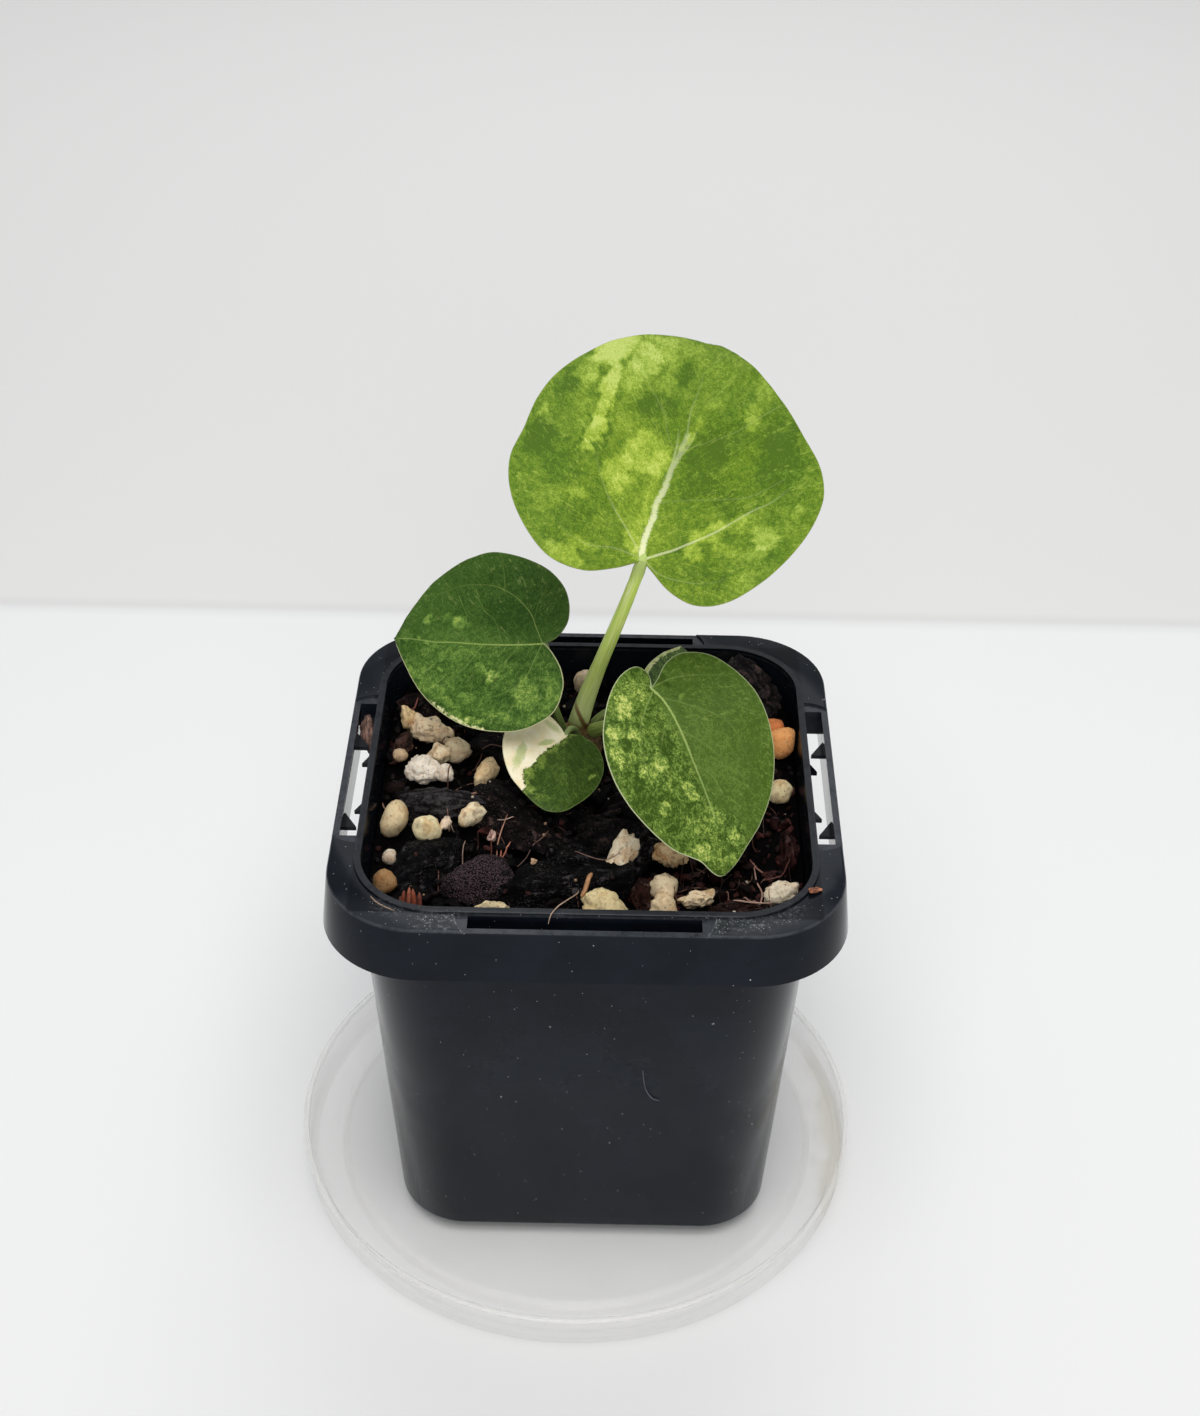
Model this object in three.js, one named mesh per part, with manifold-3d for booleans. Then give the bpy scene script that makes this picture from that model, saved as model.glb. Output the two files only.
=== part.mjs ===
// A young variegated anthurium with five leaves, in a square nursery pot that stands in a round
// clear dish. Millimetres, +Z up, the front of the pot towards -Y. The origin is on the surface
// that the dish stands on, under the dish's centre.
import * as THREE from 'three';
import { mergeVertices } from 'three/addons/utils/BufferGeometryUtils.js';
import Module from 'manifold-3d';

const wasm = await Module();
wasm.setup();

// Driving dimensions
const GAP = 0.3; // left between pieces that touch

const SAUCER = {
  rimRadius: 51.4,
  footRadius: 50.7,
  height: 6.9,
  sheet: 0.9, // thickness of the plastic
  panelRadius: 43.3, // edge of the raised middle
  panelTop: 2.5,
  slope: 1.5, // width of the slope from the panel down to the channel
  segments: 60,
};

const POT = {
  centre: [1.5, 6.7], // the pot stands a little behind the dish's centre
  foot: SAUCER.panelTop + GAP,
  height: 79, // from its foot to the top of its rim
  rimHalf: 42.5,
  rimCorner: 15.5,
  skirtHeight: 9.8,
  skirtFlare: 1.0, // how far the skirt leans out at its lower edge
  skirtWall: 1.15,
  skirtFootWall: 1.8, // the skirt is thicker at its lower edge
  rimPlate: 1.4,
  baseHalf: 33.2,
  baseCorner: 12.1,
  neckHalf: 38.3, // the body's outside just under the rim
  neckCorner: 14.2,
  wall: 1.2,
  floor: 1.4,
  footRecess: 1.2,
  footRingWidth: 2.7,
  lip: 0.4, // how far the body's wall stands above the rim
  drainRadius: 3.2,
  drainSpacing: 19,
};
const POT_TOP = POT.foot + POT.height;
const POT_FLOOR = POT.foot + POT.footRecess + POT.floor;

const SLOT = {
  halfLength: 18.7,
  endWall: 1.2,
  endWallDepth: 5.3,
  padReach: 2.2, // the lowered pad round each slot reaches this far past its ends
  padDepth: 0.4,
  toothTop: 3, // how far the teeth in the slot lie below the rim
  toothThickness: 0.8,
  // each tooth: distance of its square edge from the slot's middle, its length, how far it reaches
  outerTeeth: [[9.3, 3.9, 2.3], [-13.2, 3.9, 2.3]],
  innerTeeth: [[4.4, 3.7, 1.8], [-8.8, 3.4, 1.8]],
};

const MIX = {
  top: 75.8,
  highest: 80.5,
  stemHole: [-0.6, 22.3], // centre of the hole that the stem stands in
  holeBottom: 46,
  fillStep: 9, // spacing of the small chunks that cover the surface
  seed: 11,
};

const STEM = { radius: 4.2, top: 78.7, rootTip: 1.4, bottom: MIX.holeBottom + GAP };

// The large pieces of bark and charcoal on the mix: place from the pot's centre, length, width,
// height, turn in degrees and height of the middle above the mix.
const BARK = [
  [-11.2, -8.4, 20, 11, 6.4, 128, -0.4],
  [-5.8, -25.8, 15, 9, 5.6, 4, -0.4],
  [-17.8, -25.2, 11, 9.4, 5.6, 20, 0],
  [-27.2, -19.6, 15, 9, 5.6, 42, -0.2],
  [-25.1, -3.6, 12.4, 5.6, 4.2, -5, 0.2],
  [4.6, -10.4, 14, 9, 5.4, 14, -0.6],
  [-0.6, -17.2, 12, 8, 5, -12, -0.6],
  [30, 30.4, 12, 6.4, 7, -48, 1.2],
  [30.4, 20.6, 9, 6.4, 4.4, -10, 0.4],
  [-9.6, 24, 12, 8, 4.6, 60, -0.2],
  [14.6, 28.6, 13, 8, 5, 20, 0.2],
  [-30.6, 27, 10, 7, 4.4, 60, 0],
  [23.6, -11, 12, 8, 4.6, 70, -0.4],
  [-14.6, 13.6, 11, 8, 4.2, -30, -0.6],
  [9.2, -26.8, 8.4, 2.8, 4, 84, 0.4],
  [26.6, -29.4, 12, 5, 4, 12, -0.4],
  [-28.7, -29.2, 4.4, 2.6, 5, 80, 0.6],
];

// The pale stones and perlite on the mix, in the same terms.
const STONES = [
  [-31.6, 18.2, 9.6, 5, 5, -28, 1],
  [-23.5, 11.7, 4.8, 3.6, 4.6, 18, 0.9],
  [-29.2, 6, 6.4, 5.6, 5, -20, 1.2],
  [-27.2, 9, 4, 3.2, 5.6, -30, 0.9],
  [-18.3, 4.6, 6.6, 3.8, 4, 62, 1.2],
  [-33.2, -8.6, 5.4, 5, 6, 80, 1],
  [-27.4, -11.2, 5, 4.6, 4.4, 0, 1.4],
  [-19.7, -7, 5.2, 4, 5.4, 60, 1.3],
  [-33.4, -25, 4, 4, 4, 0, 0.8],
  [-33.2, -19, 2.6, 2.2, 4.6, 0, 0.6],
  [-15, -32.6, 5.4, 3.4, 5, 0, 0.8],
  [3, -30, 8, 6, 5.4, -10, 0.4],
  [-1.6, 33, 4, 3.6, 4.6, 0, 1.2],
  [3.6, 21.6, 4.4, 3.2, 3.6, 30, 0.8],
  [24.6, 34, 4.2, 3.4, 6.6, 0, 1],
  [34, 14.2, 5.6, 5.2, 5.6, -30, 1.8],
  [33.2, 1.4, 4.2, 4, 4.2, 0, 0.8],
  [14.1, -16, 6.4, 5, 4.4, -20, 0.6],
  [5.8, -17.8, 7.6, 4.2, 5, 52, 1],
  [12.8, -25.6, 5, 4.8, 4.8, 0, 1.2],
  [12.6, -30, 4.8, 4.6, 4.6, 0, 0.6],
  [18.2, -28.4, 6.4, 3.4, 3.6, 12, 0.8],
  [32.4, -26.6, 6.4, 4.6, 4.4, 20, 1.2],
];

// The leaves. at: where the stalk meets the blade. turn: heading of the midrib, its rise and the
// blade's roll about it, in degrees. droop, arch, fold: how the blade bends down along the midrib,
// down away from it, and up away from it. curl: how the last of the tip turns down, and from
// where. wave: height of the margin's waves, how many there are, and their phase. bow: how far
// the midrib bows sideways. left and right: the margin from the stalk to the tip, each point as
// distance along the midrib and distance out from it. stalk: the stalk's curve. thickness: of the
// stalk at its foot, below its middle and at its top. mesh: rows and columns of the blade's faces.
const LEAVES = {
  upper: {
    at: [9.7, 3.1, 127], turn: [74, 29, 14], droop: 0.003, arch: 0.001, fold: 0,
    curl: [0.03, 42], wave: [0.5, 3, 0.6], bow: -0.6,
    left: [[0, 0], [-3, 4.2], [-4.6, 8.5], [-3.6, 15], [2.5, 21.7], [10, 25], [19, 25],
      [28, 23.2], [37, 19.2], [43.5, 13.2], [46.2, 6], [47, -0.6]],
    right: [[0, 0], [-1.6, -2.4], [-4, -6.5], [-4.7, -10.5], [-2, -15.5], [4.7, -20.3],
      [12, -23.8], [20.5, -25.8], [28, -23.8], [36, -18], [43.4, -10.4], [46.4, -4.6], [47, -0.6]],
    stalk: [[-0.8, 23.6, 79.7], [1.8, 18.6, 94], [6, 10.2, 109], [9.4, 3.5, 126]],
    thickness: [3.7, 2.5, 1.8],
    mesh: [16, 4],
    green: '#7fa03c',
  },
  left: {
    at: [-6.4, 15.3, 102], turn: [160, -12, -42], droop: 0.004, arch: 0.002, fold: 0,
    curl: [0.02, 27], wave: [0.25, 4, 1.5], bow: 0.2,
    left: [[0, 0], [-1.6, 1.5], [-3.9, 5], [-4.2, 8.4], [-1.6, 12.9], [4, 15.5], [10.3, 15.3],
      [17.6, 12.7], [24.3, 8], [28.6, 3.2], [31.6, -1]],
    right: [[0, 0], [-2.4, -1.5], [-3.6, -4.8], [-2.3, -9.8], [2, -13.8], [8, -16.1],
      [14.5, -16.6], [21, -14.2], [26.3, -10], [29.6, -4.6], [31.6, -1]],
    stalk: [[-3.2, 21.3, 79.6], [-5.3, 19.8, 86], [-6.3, 17.2, 94], [-6.2, 15.8, 101]],
    thickness: [1.5, 1.2, 1.2],
    mesh: [14, 4],
    green: '#3f6b2f',
  },
  right: {
    at: [11.5, -0.1, 104], turn: [-56, -30, 0], droop: 0.007, arch: 0.001, fold: 0.12,
    curl: [0.02, 28], wave: [0.3, 4, 0.4], bow: 1.2,
    left: [[0, 0], [-1.2, 2], [-3.3, 5], [-3.8, 8.8], [-1.4, 12.7], [5, 15.8], [12, 16.3],
      [19.4, 14.3], [25.4, 10.2], [29.3, 4.8], [31.4, 1], [32, -1.5]],
    right: [[0, 0], [-2.4, 1], [-4.5, -0.4], [-3.4, -4.6], [0.3, -9.2], [5.9, -12.9],
      [12, -14.5], [18.1, -13.2], [23, -10.6], [27, -6.8], [30, -3.9], [32, -1.5]],
    stalk: [[2.1, 21.3, 80.1], [5.5, 17.6, 83.4], [10.6, 7.4, 94], [11.3, 0.9, 102.9]],
    thickness: [2.5, 2.1, 1.7],
    mesh: [14, 4],
    green: '#57853a',
  },
  front: {
    at: [-2.8, 12, 85], turn: [-92, -12, -14], droop: 0.005, arch: 0.005, fold: 0,
    curl: [0, 16], wave: [0.15, 3, 0], bow: 0,
    left: [[0, 0], [-1, 1.4], [-0.6, 3.8], [1.2, 6], [5.2, 7.4], [9.6, 6.8], [13.2, 4.6],
      [15.6, 2], [16.2, 0.4]],
    right: [[0, 0], [-3.2, -1.4], [-4.9, -4.4], [-3.2, -8], [1.2, -10.1], [6, -10.4],
      [10.2, -8.9], [13.5, -6.2], [15.8, -2.6], [16.2, 0.4]],
    stalk: [[-0.9, 20, 79.9], [-1.4, 18.4, 82.6], [-2.3, 15.4, 84.3], [-2.75, 13, 84.9]],
    thickness: [1.8, 1.6, 1.4],
    mesh: [12, 3],
    green: '#6d8c4a',
  },
  behind: {
    at: [14.4, 15.9, 92], turn: [77, 8, 0], droop: 0.006, arch: 0.006, fold: 0,
    curl: [0, 14], wave: [0.1, 3, 1], bow: 0,
    left: [[0, 0], [-1.3, 1.5], [-1.2, 3.3], [1.8, 4.6], [6, 4.6], [10.2, 2.8], [13, 0]],
    right: [[0, 0], [-1.3, -1.5], [-1.2, -3.3], [1.8, -4.6], [6, -4.6], [10.2, -2.8], [13, 0]],
    stalk: [[2.2, 24.3, 79.9], [4.6, 24.2, 83], [11, 20.4, 86.6], [13.9, 16.6, 91]],
    thickness: [1.6, 1.4, 1.2],
    mesh: [10, 3],
    green: '#7d9a55',
  },
};
const BLADE = { thickness: 0.7, rowCrowding: 1.5 };
const STALK = { steps: 9, sides: 8 };

// Helpers for closed meshes

// A geometry with its shared corners merged, facing out.
function weld(geometry) {
  geometry.deleteAttribute('normal');
  geometry.deleteAttribute('uv');
  const merged = mergeVertices(geometry, 1e-4);
  if (signedVolume(merged) < 0) {
    const index = merged.index.array;
    for (let i = 0; i < index.length; i += 3) [index[i], index[i + 1]] = [index[i + 1], index[i]];
  }
  return merged;
}

function signedVolume(geometry) {
  const position = geometry.attributes.position;
  const index = geometry.index.array;
  const corners = [new THREE.Vector3(), new THREE.Vector3(), new THREE.Vector3()];
  let volume = 0;
  for (let i = 0; i < index.length; i += 3) {
    corners.forEach((corner, k) => corner.fromBufferAttribute(position, index[i + k]));
    volume += corners[0].dot(corners[1].clone().cross(corners[2])) / 6;
  }
  return volume;
}

function fromPoints(points, triangles) {
  const geometry = new THREE.BufferGeometry();
  geometry.setAttribute('position', new THREE.Float32BufferAttribute(points.flat(), 3));
  geometry.setIndex(triangles.flat());
  return geometry;
}

function solid(geometry) {
  const merged = weld(geometry);
  return new wasm.Manifold(new wasm.Mesh({
    numProp: 3,
    vertProperties: new Float32Array(merged.attributes.position.array),
    triVerts: new Uint32Array(merged.index.array),
  }));
}

function geometryOf(manifold) {
  const mesh = manifold.getMesh();
  const geometry = new THREE.BufferGeometry();
  geometry.setAttribute('position', new THREE.BufferAttribute(mesh.vertProperties, 3));
  geometry.setIndex(new THREE.BufferAttribute(mesh.triVerts, 1));
  return geometry;
}

const union = (solids) => solids.reduce((whole, next) => whole.add(next));

// Corners of a square with rounded corners, anticlockwise.
function roundedSquare(half, corner, perCorner = 7) {
  const points = [];
  for (let quarter = 0; quarter < 4; quarter += 1) {
    const start = (quarter * Math.PI) / 2;
    const centre = new THREE.Vector2(half - corner, half - corner).rotateAround(new THREE.Vector2(), start);
    for (let i = 0; i <= perCorner; i += 1) {
      const angle = start + (i / perCorner) * (Math.PI / 2);
      points.push([centre.x + corner * Math.cos(angle), centre.y + corner * Math.sin(angle)]);
    }
  }
  return points;
}

// A solid through rounded squares given as [half width, corner radius, height], lowest first.
function loft(levels) {
  const rings = levels.map(([half, corner, z]) => roundedSquare(half, corner).map(([x, y]) => [x, y, z]));
  const count = rings[0].length;
  const points = rings.flat();
  const triangles = [];
  for (let r = 0; r < rings.length - 1; r += 1) {
    for (let i = 0; i < count; i += 1) {
      const a = r * count + i;
      const b = r * count + ((i + 1) % count);
      triangles.push([a, b, b + count], [a, b + count, a + count]);
    }
  }
  const top = (rings.length - 1) * count;
  for (let i = 1; i < count - 1; i += 1) {
    triangles.push([0, i + 1, i], [top, top + i, top + i + 1]);
  }
  return solid(fromPoints(points, triangles));
}

// A block between two corners.
function block([x0, y0, z0], [x1, y1, z1]) {
  const geometry = new THREE.BoxGeometry(x1 - x0, y1 - y0, z1 - z0);
  geometry.translate((x0 + x1) / 2, (y0 + y1) / 2, (z0 + z1) / 2);
  return solid(geometry);
}

// A flat shape raised from z0 to z1.
function raised(points, z0, z1) {
  const shape = new THREE.Shape(points.map(([x, y]) => new THREE.Vector2(x, y)));
  const geometry = new THREE.ExtrudeGeometry(shape, { depth: z1 - z0, bevelEnabled: false });
  geometry.translate(0, 0, z0);
  return solid(geometry);
}

function upright(radius, x, y, z0, z1, sides = 16) {
  const geometry = new THREE.CylinderGeometry(radius, radius, z1 - z0, sides);
  geometry.rotateX(Math.PI / 2);
  geometry.translate(x, y, (z0 + z1) / 2);
  return solid(geometry);
}

// A profile of [radius, height] turned round the Z axis.
function turned(profile, segments) {
  const geometry = new THREE.LatheGeometry(profile.map(([r, z]) => new THREE.Vector2(r, z)), segments);
  geometry.rotateX(Math.PI / 2);
  return geometry;
}

// The same draws each run.
function randomFrom(seed) {
  let state = seed >>> 0;
  return () => {
    state = (Math.imul(state, 1664525) + 1013904223) >>> 0;
    return state / 4294967296;
  };
}

// The dish

function saucerGeometry() {
  const { rimRadius, footRadius, height, sheet, panelRadius, panelTop, slope } = SAUCER;
  const wallFoot = footRadius - 1.6;
  const beadHeight = 4.1;
  const profile = [
    [0, panelTop - sheet],
    [panelRadius - 0.7, panelTop - sheet],
    [panelRadius + slope - 0.7, 0],
    [footRadius - 0.6, 0],
    [footRadius, 0.6],
    [rimRadius, height],
    [rimRadius - 1, height],
    [wallFoot + 1, beadHeight + 0.4],
    [wallFoot + 0.3, beadHeight - 0.2],
    [wallFoot + 0.1, sheet + 0.8],
    [wallFoot - 0.6, sheet],
    [panelRadius + slope, sheet],
    [panelRadius, panelTop],
    [0, panelTop],
  ];
  return weld(turned(profile, SAUCER.segments));
}

// The pot

function bodyHalf(z, inset = 0) {
  const t = (z - POT.foot) / (POT_TOP - POT.foot);
  return THREE.MathUtils.lerp(POT.baseHalf, POT.neckHalf, t) - inset;
}

function bodyCorner(z, inset = 0) {
  const t = (z - POT.foot) / (POT_TOP - POT.foot);
  return THREE.MathUtils.lerp(POT.baseCorner, POT.neckCorner, t) - inset;
}

const bodyLevel = (z, inset) => [bodyHalf(z, inset), bodyCorner(z, inset), z];

function rimBand() {
  const skirtFoot = POT_TOP - POT.skirtHeight;
  const { rimHalf, rimCorner, skirtFlare, skirtWall, skirtFootWall, rimPlate } = POT;
  const outside = loft([
    [rimHalf + skirtFlare, rimCorner + skirtFlare, skirtFoot],
    [rimHalf, rimCorner, POT_TOP - 0.5],
    [rimHalf - 0.5, rimCorner - 0.5, POT_TOP],
  ]);
  const inside = loft([
    [rimHalf + skirtFlare - skirtFootWall, rimCorner + skirtFlare - skirtFootWall, skirtFoot - 0.1],
    [rimHalf - skirtWall, rimCorner - skirtWall, POT_TOP - rimPlate],
  ]);
  return outside.subtract(inside);
}

// The slot on the side facing +X, and what stands in it: the end walls and the teeth.
function slotParts() {
  const inner = POT.neckHalf;
  const outer = POT.rimHalf - POT.skirtWall;
  const { halfLength, endWall, endWallDepth, padReach, padDepth } = SLOT;
  const reach = halfLength + padReach;
  const padOuter = POT.rimHalf + 1;
  const pad = raised([
    [inner, -reach], [inner + 2.2, -reach + 0.5], [padOuter, -reach + 2.4],
    [padOuter, reach - 2.4], [inner + 2.2, reach - 0.5], [inner, reach],
  ], POT_TOP - padDepth, POT_TOP + 2);
  const opening = block([inner, -halfLength, POT_TOP - 3], [outer, halfLength, POT_TOP + 2]);
  const ends = [-1, 1].map((side) => block(
    [inner - 0.6, Math.min(side * halfLength, side * (halfLength + endWall)), POT_TOP - endWallDepth],
    [outer + 0.8, Math.max(side * halfLength, side * (halfLength + endWall)), POT_TOP - 1],
  ));
  const toothTop = POT_TOP - SLOT.toothTop;
  const tooth = (points) => raised(points, toothTop - SLOT.toothThickness, toothTop);
  const bodySide = bodyHalf(toothTop);
  const outerTeeth = SLOT.outerTeeth.map(([edge, length, depth]) => tooth([
    [outer + 0.8, edge], [outer + 0.8, edge + length], [outer + 0.1, edge + length], [outer + 0.1 - depth, edge],
  ]));
  const innerTeeth = SLOT.innerTeeth.map(([edge, length, depth]) => tooth([
    [bodySide - 0.6, edge], [bodySide + depth, edge], [bodySide, edge + length], [bodySide - 0.6, edge + length],
  ]));
  return { pad, opening, stands: [...ends, ...outerTeeth, ...innerTeeth] };
}

// The four sides' slots: the side walls' are mirror images of each other, as the end walls' are.
function onFourSides(part) {
  const mirrored = part.mirror([1, 0, 0]);
  return [part, mirrored, part.rotate([0, 0, 90]), mirrored.rotate([0, 0, 90])];
}

function drainHoles() {
  const steps = [-1, 0, 1];
  return steps.flatMap((i) => steps.map((j) => upright(
    POT.drainRadius,
    i * POT.drainSpacing,
    j * POT.drainSpacing,
    POT.foot - 1,
    POT_FLOOR + 1,
  )));
}

function potGeometry() {
  const { foot, wall, lip, baseHalf, baseCorner, footRingWidth, footRecess } = POT;
  const body = loft([
    [baseHalf - 0.9, baseCorner - 0.9, foot],
    bodyLevel(foot + 0.9, 0),
    bodyLevel(POT_TOP - 0.2, 0),
    bodyLevel(POT_TOP + lip, 0.1),
  ]);
  const cavity = loft([bodyLevel(POT_FLOOR, wall), bodyLevel(POT_TOP + 2, wall)]);
  const recess = loft([
    [baseHalf - footRingWidth, baseCorner - footRingWidth, foot - 1],
    [baseHalf - footRingWidth - 0.3, baseCorner - footRingWidth - 0.3, foot + footRecess],
  ]);
  const slot = slotParts();
  let pot = rimBand();
  for (const cut of [slot.pad, slot.opening].flatMap(onFourSides)) pot = pot.subtract(cut);
  pot = pot.add(body);
  for (const stand of slot.stands.flatMap(onFourSides)) pot = pot.add(stand);
  for (const cut of [cavity, recess, ...drainHoles()]) pot = pot.subtract(cut);
  return geometryOf(pot);
}

// The potting mix

function lump(shape, detail, random, roughness) {
  const [x, y, length, width, height, turn, lift] = shape;
  const geometry = mergeVertices(deleteExtras(new THREE.IcosahedronGeometry(1, detail)), 1e-4);
  const position = geometry.attributes.position;
  for (let i = 0; i < position.count; i += 1) {
    const push = 1 + roughness * (random() - 0.5);
    position.setXYZ(i, position.getX(i) * push, position.getY(i) * push, position.getZ(i) * push);
  }
  geometry.scale(length / 2, width / 2, height / 2);
  geometry.rotateZ(THREE.MathUtils.degToRad(turn));
  geometry.translate(x, y, MIX.top + lift);
  return solid(geometry);
}

function deleteExtras(geometry) {
  geometry.deleteAttribute('normal');
  geometry.deleteAttribute('uv');
  return geometry;
}

// Small chunks in a loose grid, which cover the surface between the large ones.
function fillShapes(random) {
  const shapes = [];
  const reach = Math.floor(bodyHalf(MIX.top) / MIX.fillStep);
  for (let i = -reach; i <= reach; i += 1) {
    for (let j = -reach; j <= reach; j += 1) {
      const length = 7 + 4 * random();
      shapes.push([
        (i + 0.5 * (random() - 0.5)) * MIX.fillStep,
        (j + 0.5 * (random() - 0.5)) * MIX.fillStep,
        length,
        length * (0.5 + 0.3 * random()),
        3 + 1.6 * random(),
        360 * random(),
        -0.6 + 0.8 * random(),
      ]);
    }
  }
  return shapes;
}

function mixGeometry() {
  const random = randomFrom(MIX.seed);
  const inset = POT.wall + GAP;
  const lumps = union([
    ...BARK.map((shape) => lump(shape, 1, random, 0.28)),
    ...STONES.map((shape) => lump(shape, 0, random, 0.16)),
    ...fillShapes(random).map((shape) => lump(shape, 0, random, 0.3)),
  ]);
  const room = loft([bodyLevel(MIX.top - 6, inset), bodyLevel(MIX.highest, inset)]);
  const filling = loft([bodyLevel(POT_FLOOR + GAP, inset), bodyLevel(MIX.top, inset)]);
  const [holeX, holeY] = MIX.stemHole;
  const hole = upright(
    STEM.radius + GAP, holeX - POT.centre[0], holeY - POT.centre[1], MIX.holeBottom, MIX.highest + 5, 20,
  );
  // chips that the wall or the hole cuts off are left out
  const bodies = filling.add(lumps.intersect(room)).subtract(hole).decompose();
  return geometryOf(bodies.reduce((largest, next) => (next.volume() > largest.volume() ? next : largest)));
}

// The stem: a stout root, tapered, and the short crown with two ring scars

function stemGeometry() {
  const { radius, top, rootTip, bottom } = STEM;
  return weld(turned([
    [0, bottom], [rootTip, bottom], [2.2, 54], [3.4, 62], [radius - 0.1, 69], [radius - 0.1, 73],
    [radius - 0.5, 73.6], [radius, 74.4], [radius, 76], [radius - 0.5, 76.5], [radius - 0.1, 77.2],
    [radius - 0.6, top], [0, top],
  ], 16));
}

// The leaves

// Height of the blade above the plane of its stalk end, at a distance u along the midrib and v
// out from it.
function bladeHeight(leaf, u, v) {
  const length = leaf.left.at(-1)[0];
  const centre = 0.4 * length;
  const out = Math.hypot(u - centre, v) / (0.5 * length);
  const around = Math.atan2(v, u - centre);
  const [waveHeight, waves, phase] = leaf.wave;
  const [curl, curlFrom] = leaf.curl;
  return -leaf.droop * u * u - leaf.arch * v * v + leaf.fold * Math.abs(v)
    - curl * Math.max(0, u - curlFrom) ** 2
    + waveHeight * Math.min(out, 1.2) ** 2 * Math.sin(waves * around + phase);
}

function bladePoint(leaf, u, v) {
  return new THREE.Vector3(u, v, bladeHeight(leaf, u, v));
}

function bladeNormal(leaf, u, v) {
  const step = 0.05;
  const along = bladePoint(leaf, u + step, v).sub(bladePoint(leaf, u - step, v));
  const across = bladePoint(leaf, u, v + step).sub(bladePoint(leaf, u, v - step));
  return along.cross(across).normalize();
}

// The blade's plan: rows run from the midrib out to the margin, as the side veins do.
function bladePlan(leaf) {
  const [length, tipSide] = leaf.left.at(-1);
  const [rows, columns] = leaf.mesh;
  const { rowCrowding } = BLADE;
  const plan = [];
  const triangles = [];
  const midrib = (s) => {
    const u = length * s ** rowCrowding;
    return [u, tipSide * (u / length) ** 2 + leaf.bow * Math.sin((Math.PI * u) / length)];
  };
  for (let i = 0; i <= rows; i += 1) plan.push(midrib(i / rows));
  for (const [side, turn] of [[leaf.left, 1], [leaf.right, -1]]) {
    const margin = new THREE.SplineCurve(side.map(([u, v]) => new THREE.Vector2(u, v)));
    const first = plan.length;
    for (let i = 1; i < rows; i += 1) {
      const [u0, v0] = midrib(i / rows);
      const edge = margin.getPoint(i / rows);
      for (let j = 1; j <= columns; j += 1) {
        const t = j / columns;
        plan.push([THREE.MathUtils.lerp(u0, edge.x, t), THREE.MathUtils.lerp(v0, edge.y, t)]);
      }
    }
    const at = (i, j) => (j === 0 || i === 0 || i === rows ? i : first + (i - 1) * columns + j - 1);
    for (let i = 0; i < rows; i += 1) {
      for (let j = 0; j < columns; j += 1) {
        const quad = [at(i, j), at(i + 1, j), at(i + 1, j + 1), at(i, j + 1)];
        if (turn < 0) quad.reverse();
        for (const triangle of [[quad[0], quad[1], quad[2]], [quad[0], quad[2], quad[3]]]) {
          if (new Set(triangle).size === 3) triangles.push(triangle);
        }
      }
    }
  }
  return { plan, triangles };
}

// The plan given its height and its thickness: two like faces joined by a wall along the margin.
function bladeGeometry(leaf) {
  const { plan, triangles } = bladePlan(leaf);
  const half = BLADE.thickness / 2;
  const faces = [1, -1].map((side) => plan.map(([u, v]) => bladePoint(leaf, u, v)
    .addScaledVector(bladeNormal(leaf, u, v), side * half).toArray()));
  const below = plan.length;
  const edges = new Map();
  const solidTriangles = [];
  for (const [a, b, c] of triangles) {
    solidTriangles.push([a, b, c], [c + below, b + below, a + below]);
    for (const [from, to] of [[a, b], [b, c], [c, a]]) edges.set(`${from},${to}`, [from, to]);
  }
  for (const [from, to] of edges.values()) {
    if (!edges.has(`${to},${from}`)) {
      solidTriangles.push([to, from, from + below], [to, from + below, to + below]);
    }
  }
  return weld(fromPoints(faces.flat(), solidTriangles));
}

// A round stalk along a curve, with its thickness given at the foot, the middle and the top.
function stalkGeometry(leaf) {
  const [p0, p1, p2, p3] = leaf.stalk.map((p) => new THREE.Vector3(...p));
  const curve = new THREE.CubicBezierCurve3(p0, p1, p2, p3);
  const { steps, sides } = STALK;
  const frames = curve.computeFrenetFrames(steps, false);
  const [foot, middle, top] = leaf.thickness;
  const points = [];
  const triangles = [];
  for (let i = 0; i <= steps; i += 1) {
    const t = i / steps;
    const radius = (t < 0.4 ? THREE.MathUtils.lerp(foot, middle, t / 0.4)
      : THREE.MathUtils.lerp(middle, top, (t - 0.4) / 0.6)) / 2;
    const centre = curve.getPointAt(t);
    for (let k = 0; k < sides; k += 1) {
      const angle = (2 * Math.PI * k) / sides;
      points.push(centre.clone()
        .addScaledVector(frames.normals[i], radius * Math.cos(angle))
        .addScaledVector(frames.binormals[i], radius * Math.sin(angle)).toArray());
    }
  }
  const last = steps * sides;
  for (let i = 0; i < steps; i += 1) {
    for (let k = 0; k < sides; k += 1) {
      const a = i * sides + k;
      const b = i * sides + ((k + 1) % sides);
      triangles.push([a, b, b + sides], [a, b + sides, a + sides]);
    }
  }
  for (let k = 1; k < sides - 1; k += 1) triangles.push([0, k + 1, k], [last, last + k, last + k + 1]);
  return weld(fromPoints(points, triangles));
}

// The whole

function piece(name, geometry, color, roughness, extra = {}) {
  const material = new THREE.MeshStandardMaterial({ color, roughness, metalness: 0, ...extra });
  const mesh = new THREE.Mesh(geometry, material);
  mesh.name = name;
  return mesh;
}

const group = new THREE.Group();
group.add(piece('drip_saucer', saucerGeometry(), '#dcdcda', 0.3, { transparent: true, opacity: 0.5 }));

const potGroup = new THREE.Group();
potGroup.position.set(POT.centre[0], POT.centre[1], 0);
potGroup.add(piece('pot', potGeometry(), '#1d2026', 0.45));
potGroup.add(piece('potting_mix', mixGeometry(), '#2a211d', 0.95));
group.add(potGroup);

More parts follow.
